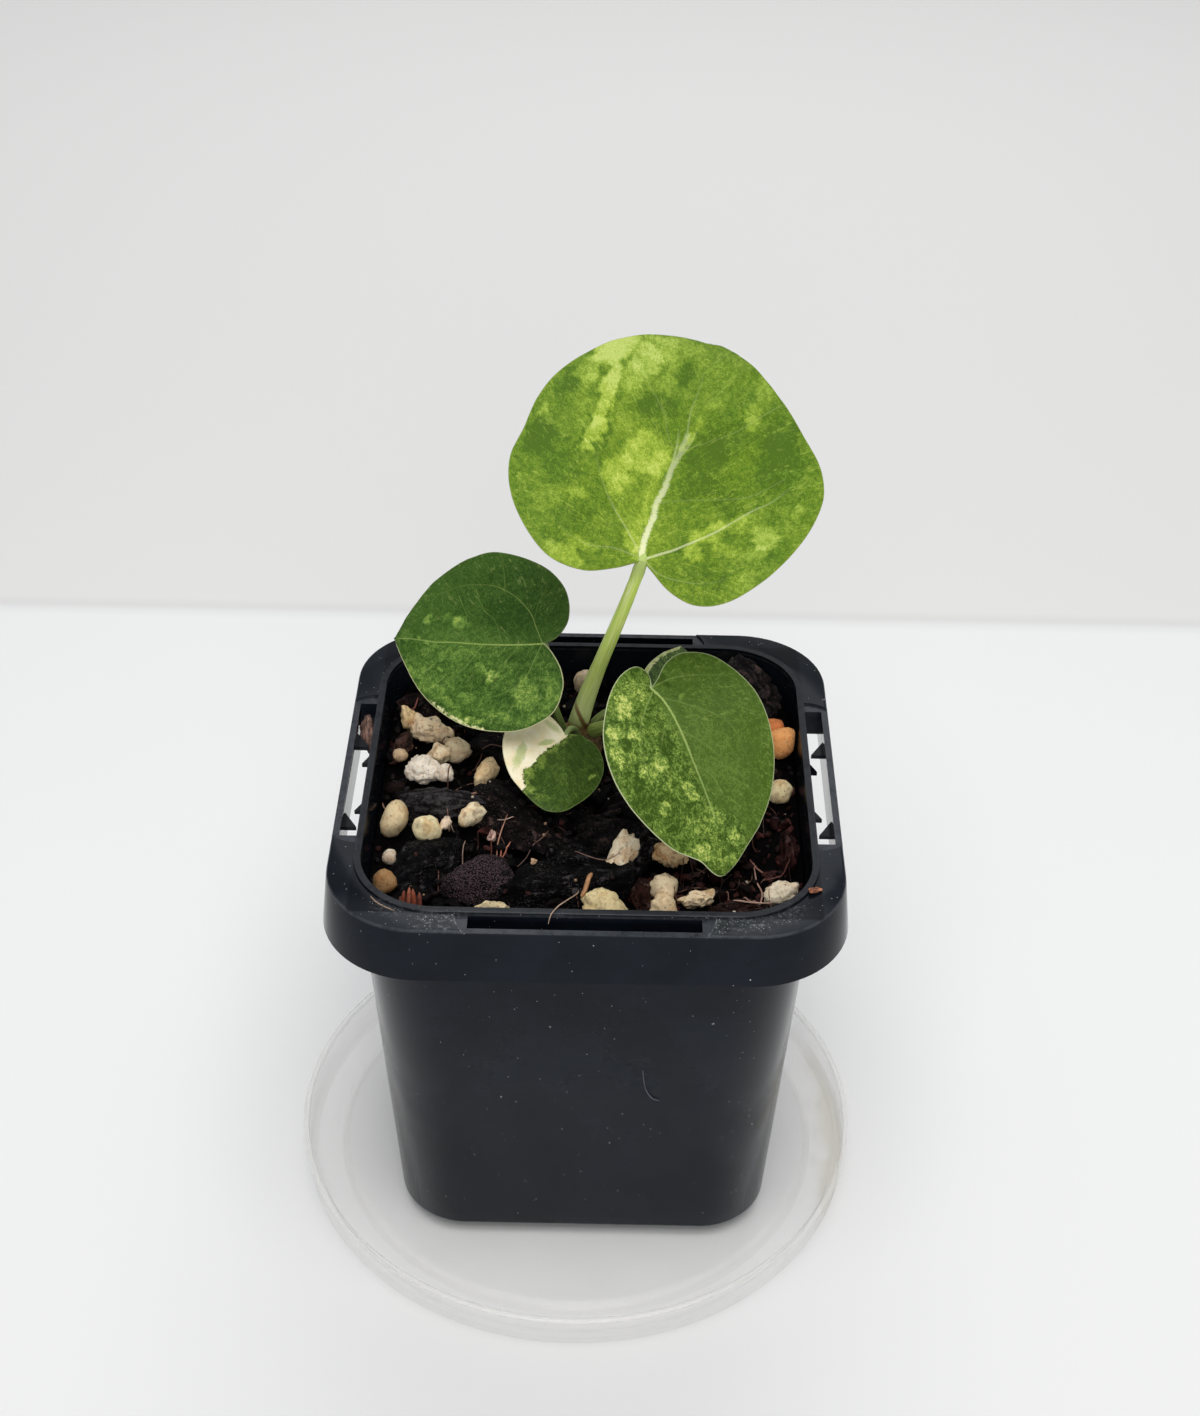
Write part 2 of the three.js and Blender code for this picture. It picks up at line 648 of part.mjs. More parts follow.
const plant = new THREE.Group();
const stem = piece('stem', stemGeometry(), '#8a6b42', 0.7);
stem.position.set(MIX.stemHole[0], MIX.stemHole[1], 0);
plant.add(stem);
for (const [name, leaf] of Object.entries(LEAVES)) {
  plant.add(piece(`petiole_${name}`, stalkGeometry(leaf), '#7f9a4a', 0.5));
  const blade = piece(`leaf_${name}`, bladeGeometry(leaf), leaf.green, 0.45);
  const [heading, rise, roll] = leaf.turn.map(THREE.MathUtils.degToRad);
  blade.position.set(...leaf.at);
  blade.rotation.set(roll, -rise, heading, 'ZYX');
  plant.add(blade);
}
group.add(plant);

export default group;
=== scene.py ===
"""A young variegated anthurium in a square nursery pot, which stands in a round clear dish."""
import math

import bmesh
import bpy
import numpy as np
from mathutils import Matrix, Vector, noise
from mathutils.bvhtree import BVHTree


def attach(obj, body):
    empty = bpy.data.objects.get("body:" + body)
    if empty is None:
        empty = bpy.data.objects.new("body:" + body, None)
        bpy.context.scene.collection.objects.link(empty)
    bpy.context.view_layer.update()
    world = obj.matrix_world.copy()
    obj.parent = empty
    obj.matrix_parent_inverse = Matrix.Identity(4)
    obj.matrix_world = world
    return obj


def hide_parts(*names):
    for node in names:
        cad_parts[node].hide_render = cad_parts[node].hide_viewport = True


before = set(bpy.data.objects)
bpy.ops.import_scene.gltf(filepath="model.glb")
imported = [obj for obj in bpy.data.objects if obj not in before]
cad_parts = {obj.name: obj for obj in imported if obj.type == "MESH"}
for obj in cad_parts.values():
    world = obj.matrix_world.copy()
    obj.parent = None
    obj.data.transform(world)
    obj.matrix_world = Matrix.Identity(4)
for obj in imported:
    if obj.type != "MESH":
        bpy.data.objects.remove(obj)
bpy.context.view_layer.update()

MM = 0.001

# The camera, in millimetres and degrees
CAMERA_PLACE = (4.450, -305.030, 321.262)
CAMERA_YAW, CAMERA_PITCH, CAMERA_ROLL = 0.230, 35.975, 0.934
CAMERA_LENS = 57.76
SENSOR = 36.0

# The dish
DISH_RIM, DISH_FOOT, DISH_HEIGHT = 51.4, 50.7, 6.9
DISH_SHEET = 0.9
DISH_PANEL, DISH_PANEL_TOP, DISH_SLOPE = 43.3, 2.5, 1.5

# The pot, its centre on the dish, and its heights
POT_X, POT_Y = 1.5, 6.7
POT_FOOT = 2.8
POT_TOP = 81.8
RIM_HALF, RIM_CORNER = 42.5, 15.5
SKIRT_HEIGHT, SKIRT_FLARE, SKIRT_WALL, SKIRT_FOOT_WALL = 9.8, 1.0, 1.15, 1.8
RIM_PLATE = 1.4
BASE_HALF, BASE_CORNER = 33.2, 12.1
NECK_HALF, NECK_CORNER = 38.3, 14.2
POT_WALL, POT_FLOOR = 1.2, 5.4
FOOT_RECESS, FOOT_RING = 1.2, 2.7
LIP = 0.4
CORNER_STEPS, BESIDE_CORNER = 18, 0.8
POT_BEVEL = 0.14
DRAIN_RADIUS, DRAIN_SPACING = 3.2, 19
SLOT_HALF, SLOT_END_WALL, SLOT_END_DEPTH = 18.7, 1.2, 5.3
PAD_REACH, PAD_DEPTH, PAD_CURVE, PAD_LENGTH = 2.2, 0.4, 2.4, 5.2
TOOTH_TOP, TOOTH_THICK = 3.0, 0.8
OUTER_TEETH = ((9.3, 3.9, 2.3), (-13.2, 3.9, 2.3))
INNER_TEETH = ((4.4, 3.7, 1.8), (-8.8, 3.4, 1.8))

# The mix and the stem
MIX_TOP = 75.8
MIX_GAP = 0.3
CHUNK_GAP = MIX_GAP + 0.1
MIX_RINGS, MIX_CORNER_STEPS = 64, 59
STEM_X, STEM_Y = -0.6, 22.3

# How many chips, crumbs and fibres are drawn, and how many of the fibres lie anywhere
SMALL_CHIPS, CRUMBS, PALE_CRUMBS = 290, 1700, 70
FIBRES, FIBRES_ANYWHERE = 150, 90
SEED = 11

# Where the floor's tone turns to the wall's, in millimetres behind the dish's middle
WALL_AT = 178.0

# Each lamp's name, place and aim in metres, size, power and colour
LAMPS = (
    ("overhead", (0.02, -0.30, 0.95), (0, 0, 0.05), 0.75, 5.4, (1, 0.99, 0.97)),
    ("front_fill", (0.04, -0.95, 0.36), (0, 0, 0.08), 0.5, 2.4, (1, 0.99, 0.98)),
    ("back_fill", (0.05, 0.55, 0.75), (0, 0, 0.06), 0.6, 1.6, (1, 1, 1)),
)


# Finishes

def linear(code):
    """A colour given as six hexadecimal digits, as the linear values that the shaders use."""
    parts = [int(code[i:i + 2], 16) / 255 for i in (0, 2, 4)]
    return tuple(p / 12.92 if p <= 0.04045 else ((p + 0.055) / 1.055) ** 2.4 for p in parts) + (1.0,)


class Wire:
    """A socket of a finish. Arithmetic on it adds Math nodes."""

    def __init__(self, finish, socket):
        self.finish, self.socket = finish, socket

    def __add__(self, other):
        return self.finish.math("ADD", self, other)

    def __sub__(self, other):
        return self.finish.math("SUBTRACT", self, other)

    def __rsub__(self, other):
        return self.finish.math("SUBTRACT", other, self)

    def __mul__(self, other):
        return self.finish.math("MULTIPLY", self, other)

    def __truediv__(self, other):
        return self.finish.math("DIVIDE", self, other)

    def __pow__(self, other):
        return self.finish.math("POWER", self, other)

    def __abs__(self):
        return self.finish.math("ABSOLUTE", self)

    __radd__, __rmul__ = __add__, __mul__


class Finish:
    """A material made of nodes."""

    def __init__(self, name):
        self.material = bpy.data.materials.new(name)
        self.material.use_nodes = True
        self.tree = self.material.node_tree
        self.tree.nodes.clear()

    def add(self, kind, settings=None, sockets=None, output=0):
        """Adds a node. Its settings come first, then the values or wires of its sockets."""
        node = self.tree.nodes.new(kind)
        for key, value in (settings or {}).items():
            if key == "stops":
                ramp = node.color_ramp
                while len(ramp.elements) < len(value):
                    ramp.elements.new(0.5)
                for element, (at, tone) in zip(ramp.elements, value):
                    element.position, element.color = at, tone
            else:
                setattr(node, key, value)
        for key, value in (sockets or {}).items():
            if isinstance(value, Wire):
                self.tree.links.new(value.socket, node.inputs[key])
            else:
                node.inputs[key].default_value = value
        return Wire(self, node.outputs[output]) if node.outputs else None

    def math(self, operation, first, second=0.0):
        return self.add("ShaderNodeMath", {"operation": operation}, {0: first, 1: second})

    def larger(self, first, second):
        return self.math("MAXIMUM", first, second)

    def step(self, value, low, high):
        """0 below low, 1 above high, and smooth between them."""
        return self.add("ShaderNodeMapRange", {"interpolation_type": "SMOOTHSTEP"},
                        {"Value": value, "From Min": low, "From Max": high})

    def place(self):
        """The place on the piece in millimetres."""
        spot = self.add("ShaderNodeTexCoord", output="Object")
        return self.add("ShaderNodeVectorMath", {"operation": "SCALE"}, {0: spot, "Scale": 1000.0})

    def stored(self, name, output="Vector"):
        return self.add("ShaderNodeAttribute", {"attribute_name": name}, output=output)

    def part(self, vector, axis):
        return self.add("ShaderNodeSeparateXYZ", sockets={0: vector}, output=axis)

    def vector(self, operation, first, second, output="Vector"):
        return self.add("ShaderNodeVectorMath", {"operation": operation}, {0: first, 1: second}, output)

    def stretched(self, vector, scale):
        return self.vector("MULTIPLY", vector, scale)

    def moved(self, vector, by):
        return self.vector("ADD", vector, by)

    def gap(self, where, spot):
        """How far a place is from a spot."""
        return self.vector("DISTANCE", where, spot, "Value")

    def noise(self, where, scale, detail=3.0, rough=0.55, distortion=0.0, output=0):
        return self.add("ShaderNodeTexNoise", sockets={
            "Vector": where, "Scale": scale, "Detail": detail, "Roughness": rough,
            "Distortion": distortion}, output=output)

    def cells(self, where, scale, feature="F1", output="Distance"):
        return self.add("ShaderNodeTexVoronoi", {"feature": feature},
                        {"Vector": where, "Scale": scale}, output)

    def mix(self, factor, first, second, mode="MIX"):
        """A colour between two. Each is a wire, a colour, or its six digits."""
        first, second = (linear(c) if isinstance(c, str) else c for c in (first, second))
        return self.add("ShaderNodeMix", {"data_type": "RGBA", "blend_type": mode},
                        {0: factor, 6: first, 7: second}, 2)

    def times(self, colour, by):
        """A colour times another one, which is its six digits or red, green and blue."""
        return self.mix(1.0, colour, by if isinstance(by, str) else (*by, 1.0), "MULTIPLY")

    def bump(self, height, strength, distance):
        return self.add("ShaderNodeBump", output="Normal", sockets={
            "Height": height, "Strength": strength, "Distance": distance * MM})

    def done(self, **sockets):
        """The surface itself. A socket's name has _ for each space."""
        surface = self.add("ShaderNodeBsdfPrincipled",
                           sockets={k.replace("_", " "): v for k, v in sockets.items()})
        self.add("ShaderNodeOutputMaterial", sockets={"Surface": surface})
        return self.material


# Meshes. Places are in millimetres, and each piece stands at the origin.

def new_piece(name, points, faces, materials, slot, nodes, sharp, material_of=None, **stored):
    """Makes a piece that rides on the plant's one body. stored holds what the finish reads at each
    point: numbers or triples."""
    mesh = bpy.data.meshes.new(name)
    mesh.from_pydata((np.asarray(points, float) * MM).tolist(), [], [tuple(f) for f in faces])
    mesh.validate()
    for key, values in stored.items():
        values = np.asarray(values, dtype=np.float32)
        kind = "FLOAT" if values.ndim == 1 else "FLOAT_VECTOR"
        layer = mesh.attributes.new(key, kind, "POINT")
        layer.data.foreach_set("value" if kind == "FLOAT" else "vector", values.ravel())
    for material in materials:
        mesh.materials.append(material)
    if material_of is not None:
        mesh.polygons.foreach_set("material_index", np.asarray(material_of, dtype=np.int32))
    return dress(bpy.data.objects.new(name, mesh), slot, nodes, sharp)


def dress(piece, slot, nodes, sharp):
    """Puts a piece in the scene on the plant's body and hides the model's parts that it stands for. sharp is
    the angle of a sharp edge.
    """
    piece.data.polygons.foreach_set("use_smooth", [True] * len(piece.data.polygons))
    piece.data.set_sharp_from_angle(angle=math.radians(sharp))
    bpy.context.scene.collection.objects.link(piece)
    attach(piece, "root")
    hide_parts(*nodes)
    return piece


class Heap:
    """Collects meshes and what is stored at their points, to make one piece of them."""

    def __init__(self):
        self.points, self.faces, self.stored, self.count = [], [], {}, 0

    def add(self, points, faces, **stored):
        points = np.asarray(points, float)
        self.points.append(points)
        self.faces.extend(tuple(int(i) + self.count for i in face) for face in faces)
        self.count += len(points)
        for key, value in stored.items():
            value = np.asarray(value, float)
            if value.shape == (3,):
                value = np.tile(value, (len(points), 1))
            self.stored.setdefault(key, []).append(value)

    def piece(self, name, material):
        """A piece of the potting mix."""
        stored = {key: np.concatenate(values) for key, values in self.stored.items()}
        new_piece(name, np.concatenate(self.points), self.faces, [material], "mix", ["potting_mix"],
                  sharp=60, **stored)


def rounded_square(half, corner, per_corner, beside=0.0):
    """beside is how far from each corner a point stands on the flat, where the shading needs one."""
    points = []
    for quarter in range(4):
        start = quarter * math.pi / 2
        middle = Vector((half - corner, half - corner))
        middle.rotate(Matrix.Rotation(start, 2))
        curve = [(start + i / per_corner * math.pi / 2, 0) for i in range(per_corner + 1)]
        if beside:
            curve = [(curve[0][0], -beside), *curve, (curve[-1][0], beside)]
        points += [(middle.x + corner * math.cos(a) - off * math.sin(a),
                    middle.y + corner * math.sin(a) + off * math.cos(a)) for a, off in curve]
    return points


def loft(levels):
    """A closed body through rounded squares given as (half width, corner, height), lowest first."""
    points = [(x, y, z) for half, corner, z in levels
              for x, y in rounded_square(half, corner, CORNER_STEPS, BESIDE_CORNER)]
    count = len(points) // len(levels)
    faces = [tuple(range(count))[::-1]]
    for r in range(len(levels) - 1):
        for i in range(count):
            a, b = r * count + i, r * count + (i + 1) % count
            faces.append((a, b, b + count, a + count))
    last = (len(levels) - 1) * count
    faces.append(tuple(range(last, last + count)))
    return points, faces


def raised(outline, low, high):
    """A flat outline, anticlockwise, raised to a body."""
    count = len(outline)
    points = [(x, y, z) for z in (low, high) for x, y in outline]
    faces = [tuple(range(count))[::-1], tuple(range(count, 2 * count))]
    for i in range(count):
        j = (i + 1) % count
        faces.append((i, j, j + count, i + count))
    return points, faces


def turned(profile, segments):
    """A profile of (radius, height) turned round Z. It starts and ends on the axis."""
    points, faces, rings = [], [], []
    for radius, height in profile:
        if radius < 1e-6:
            rings.append([len(points)])
            points.append((0, 0, height))
        else:
            rings.append(list(range(len(points), len(points) + segments)))
            points += [(radius * math.cos(2 * math.pi * k / segments),
                        radius * math.sin(2 * math.pi * k / segments), height) for k in range(segments)]
    for low, high in zip(rings, rings[1:]):
        for k in range(segments):
            n = (k + 1) % segments
            face = [low[k % len(low)], low[n % len(low)], high[n % len(high)], high[k % len(high)]]
            face = list(dict.fromkeys(face))
            if len(face) > 2:
                faces.append(tuple(face))
    return points, faces


def tube(path, radii, sides):
    """A round tube along points, closed at both ends, and for each point how far along and round."""
    path = np.asarray(path, float)
    tangents = np.gradient(path, axis=0)
    tangents /= np.linalg.norm(tangents, axis=1)[:, None]
    side = np.cross(tangents[0], (0.3, -0.2, 0.9))
    points, spots = [], []
    along = np.concatenate([[0], np.cumsum(np.linalg.norm(np.diff(path, axis=0), axis=1))])
    for spot, tangent, radius, far in zip(path, tangents, radii, along):
        side = side - tangent * (side @ tangent)
        side /= np.linalg.norm(side)
        other = np.cross(tangent, side)
        for k in range(sides):
            angle = 2 * math.pi * k / sides
            out = side * math.cos(angle) + other * math.sin(angle)
            points.append(spot + radius * out)
            spots.append((math.cos(angle), math.sin(angle), far))
    faces = [tuple(range(sides))[::-1]]
    for i in range(len(path) - 1):
        for k in range(sides):
            a, b = i * sides + k, i * sides + (k + 1) % sides
            faces.append((a, b, b + sides, a + sides))
    last = (len(path) - 1) * sides
    faces.append(tuple(range(last, last + sides)))
    return np.array(points), faces, np.array(spots)


def smooth_path(points, count):
    """Catmull-Rom through the points, at even steps of its parameter."""
    points = np.asarray(points, float)
    last = len(points) - 1
    out = []
    for t in np.linspace(0, last, count):
        i = min(int(t), last - 1)
        w = t - i
        p0, p1, p2, p3 = (points[max(i - 1, 0)], points[i], points[i + 1], points[min(i + 2, last)])
        a, b = (p2 - p0) / 2, (p3 - p1) / 2
        out.append((2 * p1 - 2 * p2 + a + b) * w ** 3 + (3 * p2 - 3 * p1 - 2 * a - b) * w * w + a * w + p1)
    return np.array(out)


def bezier(p0, p1, p2, p3, count):
    t = np.linspace(0, 1, count)[:, None]
    p0, p1, p2, p3 = (np.asarray(p, float) for p in (p0, p1, p2, p3))
    return (1 - t) ** 3 * p0 + 3 * (1 - t) ** 2 * t * p1 + 3 * (1 - t) * t * t * p2 + t ** 3 * p3


def rough_noise(points, scale, octaves, seed):
    """Fractal noise from -1 to 1 at each point, for bumps about scale millimetres across."""
    shift = Vector((seed, -seed * 0.7, seed * 1.3))
    return np.array([noise.fractal(Vector(p) / scale + shift, 1.0, 2.0, octaves) for p in points])


def carve(name, body, cutters=(), joined=(), bevel=0.0):
    """Joins bodies to a body, cuts others away and rounds the edges. Returns the mesh."""
    def lump(points, faces):
        mesh = bpy.data.meshes.new(name)
        mesh.from_pydata((np.asarray(points, float) * MM).tolist(), [], faces)
        work = bmesh.new()
        work.from_mesh(mesh)
        bmesh.ops.recalc_face_normals(work, faces=work.faces)
        work.to_mesh(mesh)
        work.free()
        made = bpy.data.objects.new(name, mesh)
        bpy.context.scene.collection.objects.link(made)
        return made

    target = lump(*body)
    helpers = []
    for operation, others in (("UNION", joined), ("DIFFERENCE", cutters)):
        for other in others:
            helper = lump(*other)
            helpers.append(helper)
            modifier = target.modifiers.new(operation, "BOOLEAN")
            modifier.operation, modifier.object, modifier.solver = operation, helper, "EXACT"
    if bevel:
        modifier = target.modifiers.new("edge", "BEVEL")
        modifier.width, modifier.segments = bevel * MM, 2
        modifier.limit_method, modifier.angle_limit = "ANGLE", math.radians(40)
    depsgraph = bpy.context.evaluated_depsgraph_get()
    mesh = bpy.data.meshes.new_from_object(target.evaluated_get(depsgraph))
    mesh.name = name
    for thing in [target, *helpers]:
        bpy.data.objects.remove(thing)
    return mesh


# The dish

def clear_plastic():
    f = Finish("clear_dish")
    where = f.place()
    cloudy = f.noise(where, 0.05, 3)
    height = f.part(where, 2)
    out = f.gap(f.stretched(where, (1.0, 1.0, 0.0)), (0.0, 0.0, 0.0))
    stain = f.step(f.part(where, 0) + 14 * (cloudy - 0.5), 43.0, 47.0) * (1 - f.step(height, 1.0, 2.4))
    stain = stain * f.step(out, 43.5, 45.0)
    # the middle panel round the pot's foot is painted darker: a painted shadow of the pot
    shadowed_panel = 1 - f.step(out, DISH_PANEL - 0.9, DISH_PANEL - 0.2)
    tone = f.mix(shadowed_panel, "fbf9f6", "d0cdca")
    tone = f.mix(0.5 * stain, tone, "dccb9c")
    wall = f.step(out, DISH_FOOT - 1.8, DISH_FOOT - 1.2)
    crease = 1 - f.step(abs(out - DISH_PANEL - 0.6), 0.3, 0.9)
    bead = 1 - f.step(abs(height - DISH_HEIGHT + 0.2), 0.2, 0.6)
    solid = 0.035 + 0.09 * wall + 0.10 * crease + 0.18 * bead + 0.14 * stain + 0.05 * (cloudy - 0.5)
    return f.done(Base_Color=tone, Roughness=0.12, Alpha=solid, IOR=1.45)


def dish():
    foot = DISH_FOOT - 1.6
    bead = 4.1
    edge = DISH_PANEL + DISH_SLOPE
    profile = [
        (0, DISH_PANEL_TOP - DISH_SHEET), (DISH_PANEL - 0.9, DISH_PANEL_TOP - DISH_SHEET),
        (DISH_PANEL - 0.5, DISH_PANEL_TOP - DISH_SHEET - 0.15), (edge - 0.9, 0.2), (edge - 0.5, 0),
        (DISH_FOOT - 0.7, 0), (DISH_FOOT - 0.2, 0.15), (DISH_FOOT, 0.6),
        (DISH_RIM - 0.02, DISH_HEIGHT - 0.15), (DISH_RIM - 0.15, DISH_HEIGHT),
        (DISH_RIM - 0.85, DISH_HEIGHT), (DISH_RIM - 1, DISH_HEIGHT - 0.15),
        (foot + 1.05, bead + 0.6), (foot + 0.95, bead + 0.4), (foot + 0.35, bead - 0.2),
        (foot + 0.25, bead - 0.45),
        (foot + 0.1, DISH_SHEET + 0.8), (foot - 0.2, DISH_SHEET + 0.2), (foot - 0.7, DISH_SHEET),
        (edge + 0.3, DISH_SHEET), (edge - 0.1, DISH_SHEET + 0.15), (DISH_PANEL + 0.2, DISH_PANEL_TOP - 0.15),
        (DISH_PANEL - 0.1, DISH_PANEL_TOP), (0, DISH_PANEL_TOP),
    ]
    points, faces = turned(profile, 192)
    new_piece("drip_dish", points, faces, [clear_plastic()], "clear_dish", ["drip_saucer"], sharp=70)


# The pot

def body_level(height, inset=0.0):
    t = (height - POT_FOOT) / (POT_TOP - POT_FOOT)
    return (BASE_HALF + (NECK_HALF - BASE_HALF) * t - inset,
            BASE_CORNER + (NECK_CORNER - BASE_CORNER) * t - inset, height)


def four_sides(body):
    """A body for the side facing +X, and its like on the other three sides."""
    points, faces = body
    out = []
    for turn in (0, 90):
        for mirror in (1, -1):
            spin = Matrix.Rotation(math.radians(turn), 3, "Z")
            out.append(([tuple(spin @ Vector((mirror * x, y, z))) for x, y, z in points], faces))
    return out


def box(low, high):
    outline = [(low[0], low[1]), (high[0], low[1]), (high[0], high[1]), (low[0], high[1])]
    return raised(outline, low[2], high[2])


def pot_mesh():
    skirt_foot = POT_TOP - SKIRT_HEIGHT
    inner, outer = NECK_HALF, RIM_HALF - SKIRT_WALL
    rim = loft([(RIM_HALF + SKIRT_FLARE, RIM_CORNER + SKIRT_FLARE, skirt_foot),
                (RIM_HALF, RIM_CORNER, POT_TOP - 0.45), (RIM_HALF - 0.13, RIM_CORNER - 0.13, POT_TOP - 0.15),
                (RIM_HALF - 0.45, RIM_CORNER - 0.45, POT_TOP)])
    under_rim = loft([(RIM_HALF + SKIRT_FLARE - SKIRT_FOOT_WALL, RIM_CORNER + SKIRT_FLARE - SKIRT_FOOT_WALL,
                       skirt_foot - 0.1), (outer, RIM_CORNER - SKIRT_WALL, POT_TOP - RIM_PLATE)])
    body = loft([(BASE_HALF - 0.9, BASE_CORNER - 0.9, POT_FOOT),
                 (BASE_HALF - 0.35, BASE_CORNER - 0.35, POT_FOOT + 0.2),
                 body_level(POT_FOOT + 0.9), body_level(POT_TOP - 0.2),
                 body_level(POT_TOP + LIP - 0.1), body_level(POT_TOP + LIP, 0.12)])
    cavity = loft([body_level(POT_FLOOR, POT_WALL), body_level(POT_TOP + 2, POT_WALL)])
    recess = loft([(BASE_HALF - FOOT_RING, BASE_CORNER - FOOT_RING, POT_FOOT - 1),
                   (BASE_HALF - FOOT_RING - 0.3, BASE_CORNER - FOOT_RING - 0.3, POT_FOOT + FOOT_RECESS)])
    reach = SLOT_HALF + PAD_REACH
    edge = RIM_HALF + 1
    arc = [(edge, -reach + PAD_CURVE), (edge, reach - PAD_CURVE)]
    arc += [(inner + PAD_LENGTH * t, reach - PAD_CURVE * t * t) for t in np.linspace(0.95, 0, 9)]
    arc += [(inner + PAD_LENGTH * t, -reach + PAD_CURVE * t * t) for t in np.linspace(0, 0.95, 9)]
    pads = four_sides(raised(arc, POT_TOP - PAD_DEPTH, POT_TOP + 2))
    slots = four_sides(box((inner, -SLOT_HALF, POT_TOP - 3), (outer, SLOT_HALF, POT_TOP + 2)))
    tooth_low, tooth_high = POT_TOP - TOOTH_TOP - TOOTH_THICK, POT_TOP - TOOTH_TOP
    side = body_level(tooth_high)[0]
    stands = []
    for sign in (-1, 1):
        ends = sorted((sign * SLOT_HALF, sign * (SLOT_HALF + SLOT_END_WALL)))
        stands += four_sides(box((inner - 0.6, ends[0], POT_TOP - SLOT_END_DEPTH),
                                 (outer + 0.7, ends[1], POT_TOP - 1)))
    for start, length, depth in OUTER_TEETH:
        tooth = [(outer + 0.8, start), (outer + 0.8, start + length), (outer + 0.1, start + length),
                 (outer + 0.1 - depth, start)]
        stands += four_sides(raised(tooth, tooth_low, tooth_high))
    for start, length, depth in INNER_TEETH:
        tooth = [(side - 0.6, start), (side + depth, start), (side, start + length),
                 (side - 0.6, start + length)]
        stands += four_sides(raised(tooth, tooth_low, tooth_high))
    drains = []
    for i in (-1, 0, 1):
        for j in (-1, 0, 1):
            ring = [(i * DRAIN_SPACING + DRAIN_RADIUS * math.cos(a),
                     j * DRAIN_SPACING + DRAIN_RADIUS * math.sin(a))
                    for a in np.linspace(0, 2 * math.pi, 32, endpoint=False)]
            drains.append(raised(ring, POT_FOOT - 1, POT_FLOOR + 1))
    rim_mesh = carve("rim", rim, [under_rim, *pads, *slots])
    rim_body = ([tuple(v.co / MM) for v in rim_mesh.vertices],
                [tuple(p.vertices) for p in rim_mesh.polygons])
    mesh = carve("nursery_pot", rim_body, [cavity, recess, *drains], [body, *stands], POT_BEVEL)
    mesh.transform(Matrix.Translation((POT_X * MM, POT_Y * MM, 0)))
    return mesh


# where dust has settled on the rim: place and radius
DUST = ((-21, -32.2, 7), (-30, -29.6, 4), (21.5, -33, 3.5), (28, -31, 6), (34, -29.6, 4), (-2, -32, 3))

# single specks of dust: how densely they may lie, their size, and the share of them left out
SPECKS = ((0.32, 0.05, 0.93), (0.8, 0.09, 0.975), (2.4, 0.22, 0.98))

# small marks on the pot's front: place, radius, tone
POT_MARKS = (
    (23, -29.8, 57.2, 0.35, "b0b0b0"), (-10.5, -28.3, 27.3, 0.3, "8d8d8d"),
    (-4.1, -29.8, 55.7, 0.3, "8d8d8d"), (27.5, -28.4, 33.5, 1.0, "020305"),
    (27.9, -28.4, 34.0, 0.7, "020305"), (12.0, -30.6, 69.6, 0.5, "9a9a98"),
    (13.2, -30.6, 69.2, 0.35, "b0b0b0"), (-5.6, -30.4, 68.0, 0.4, "868686"),
    (-24, -29.0, 62, 0.3, "868686"),
)


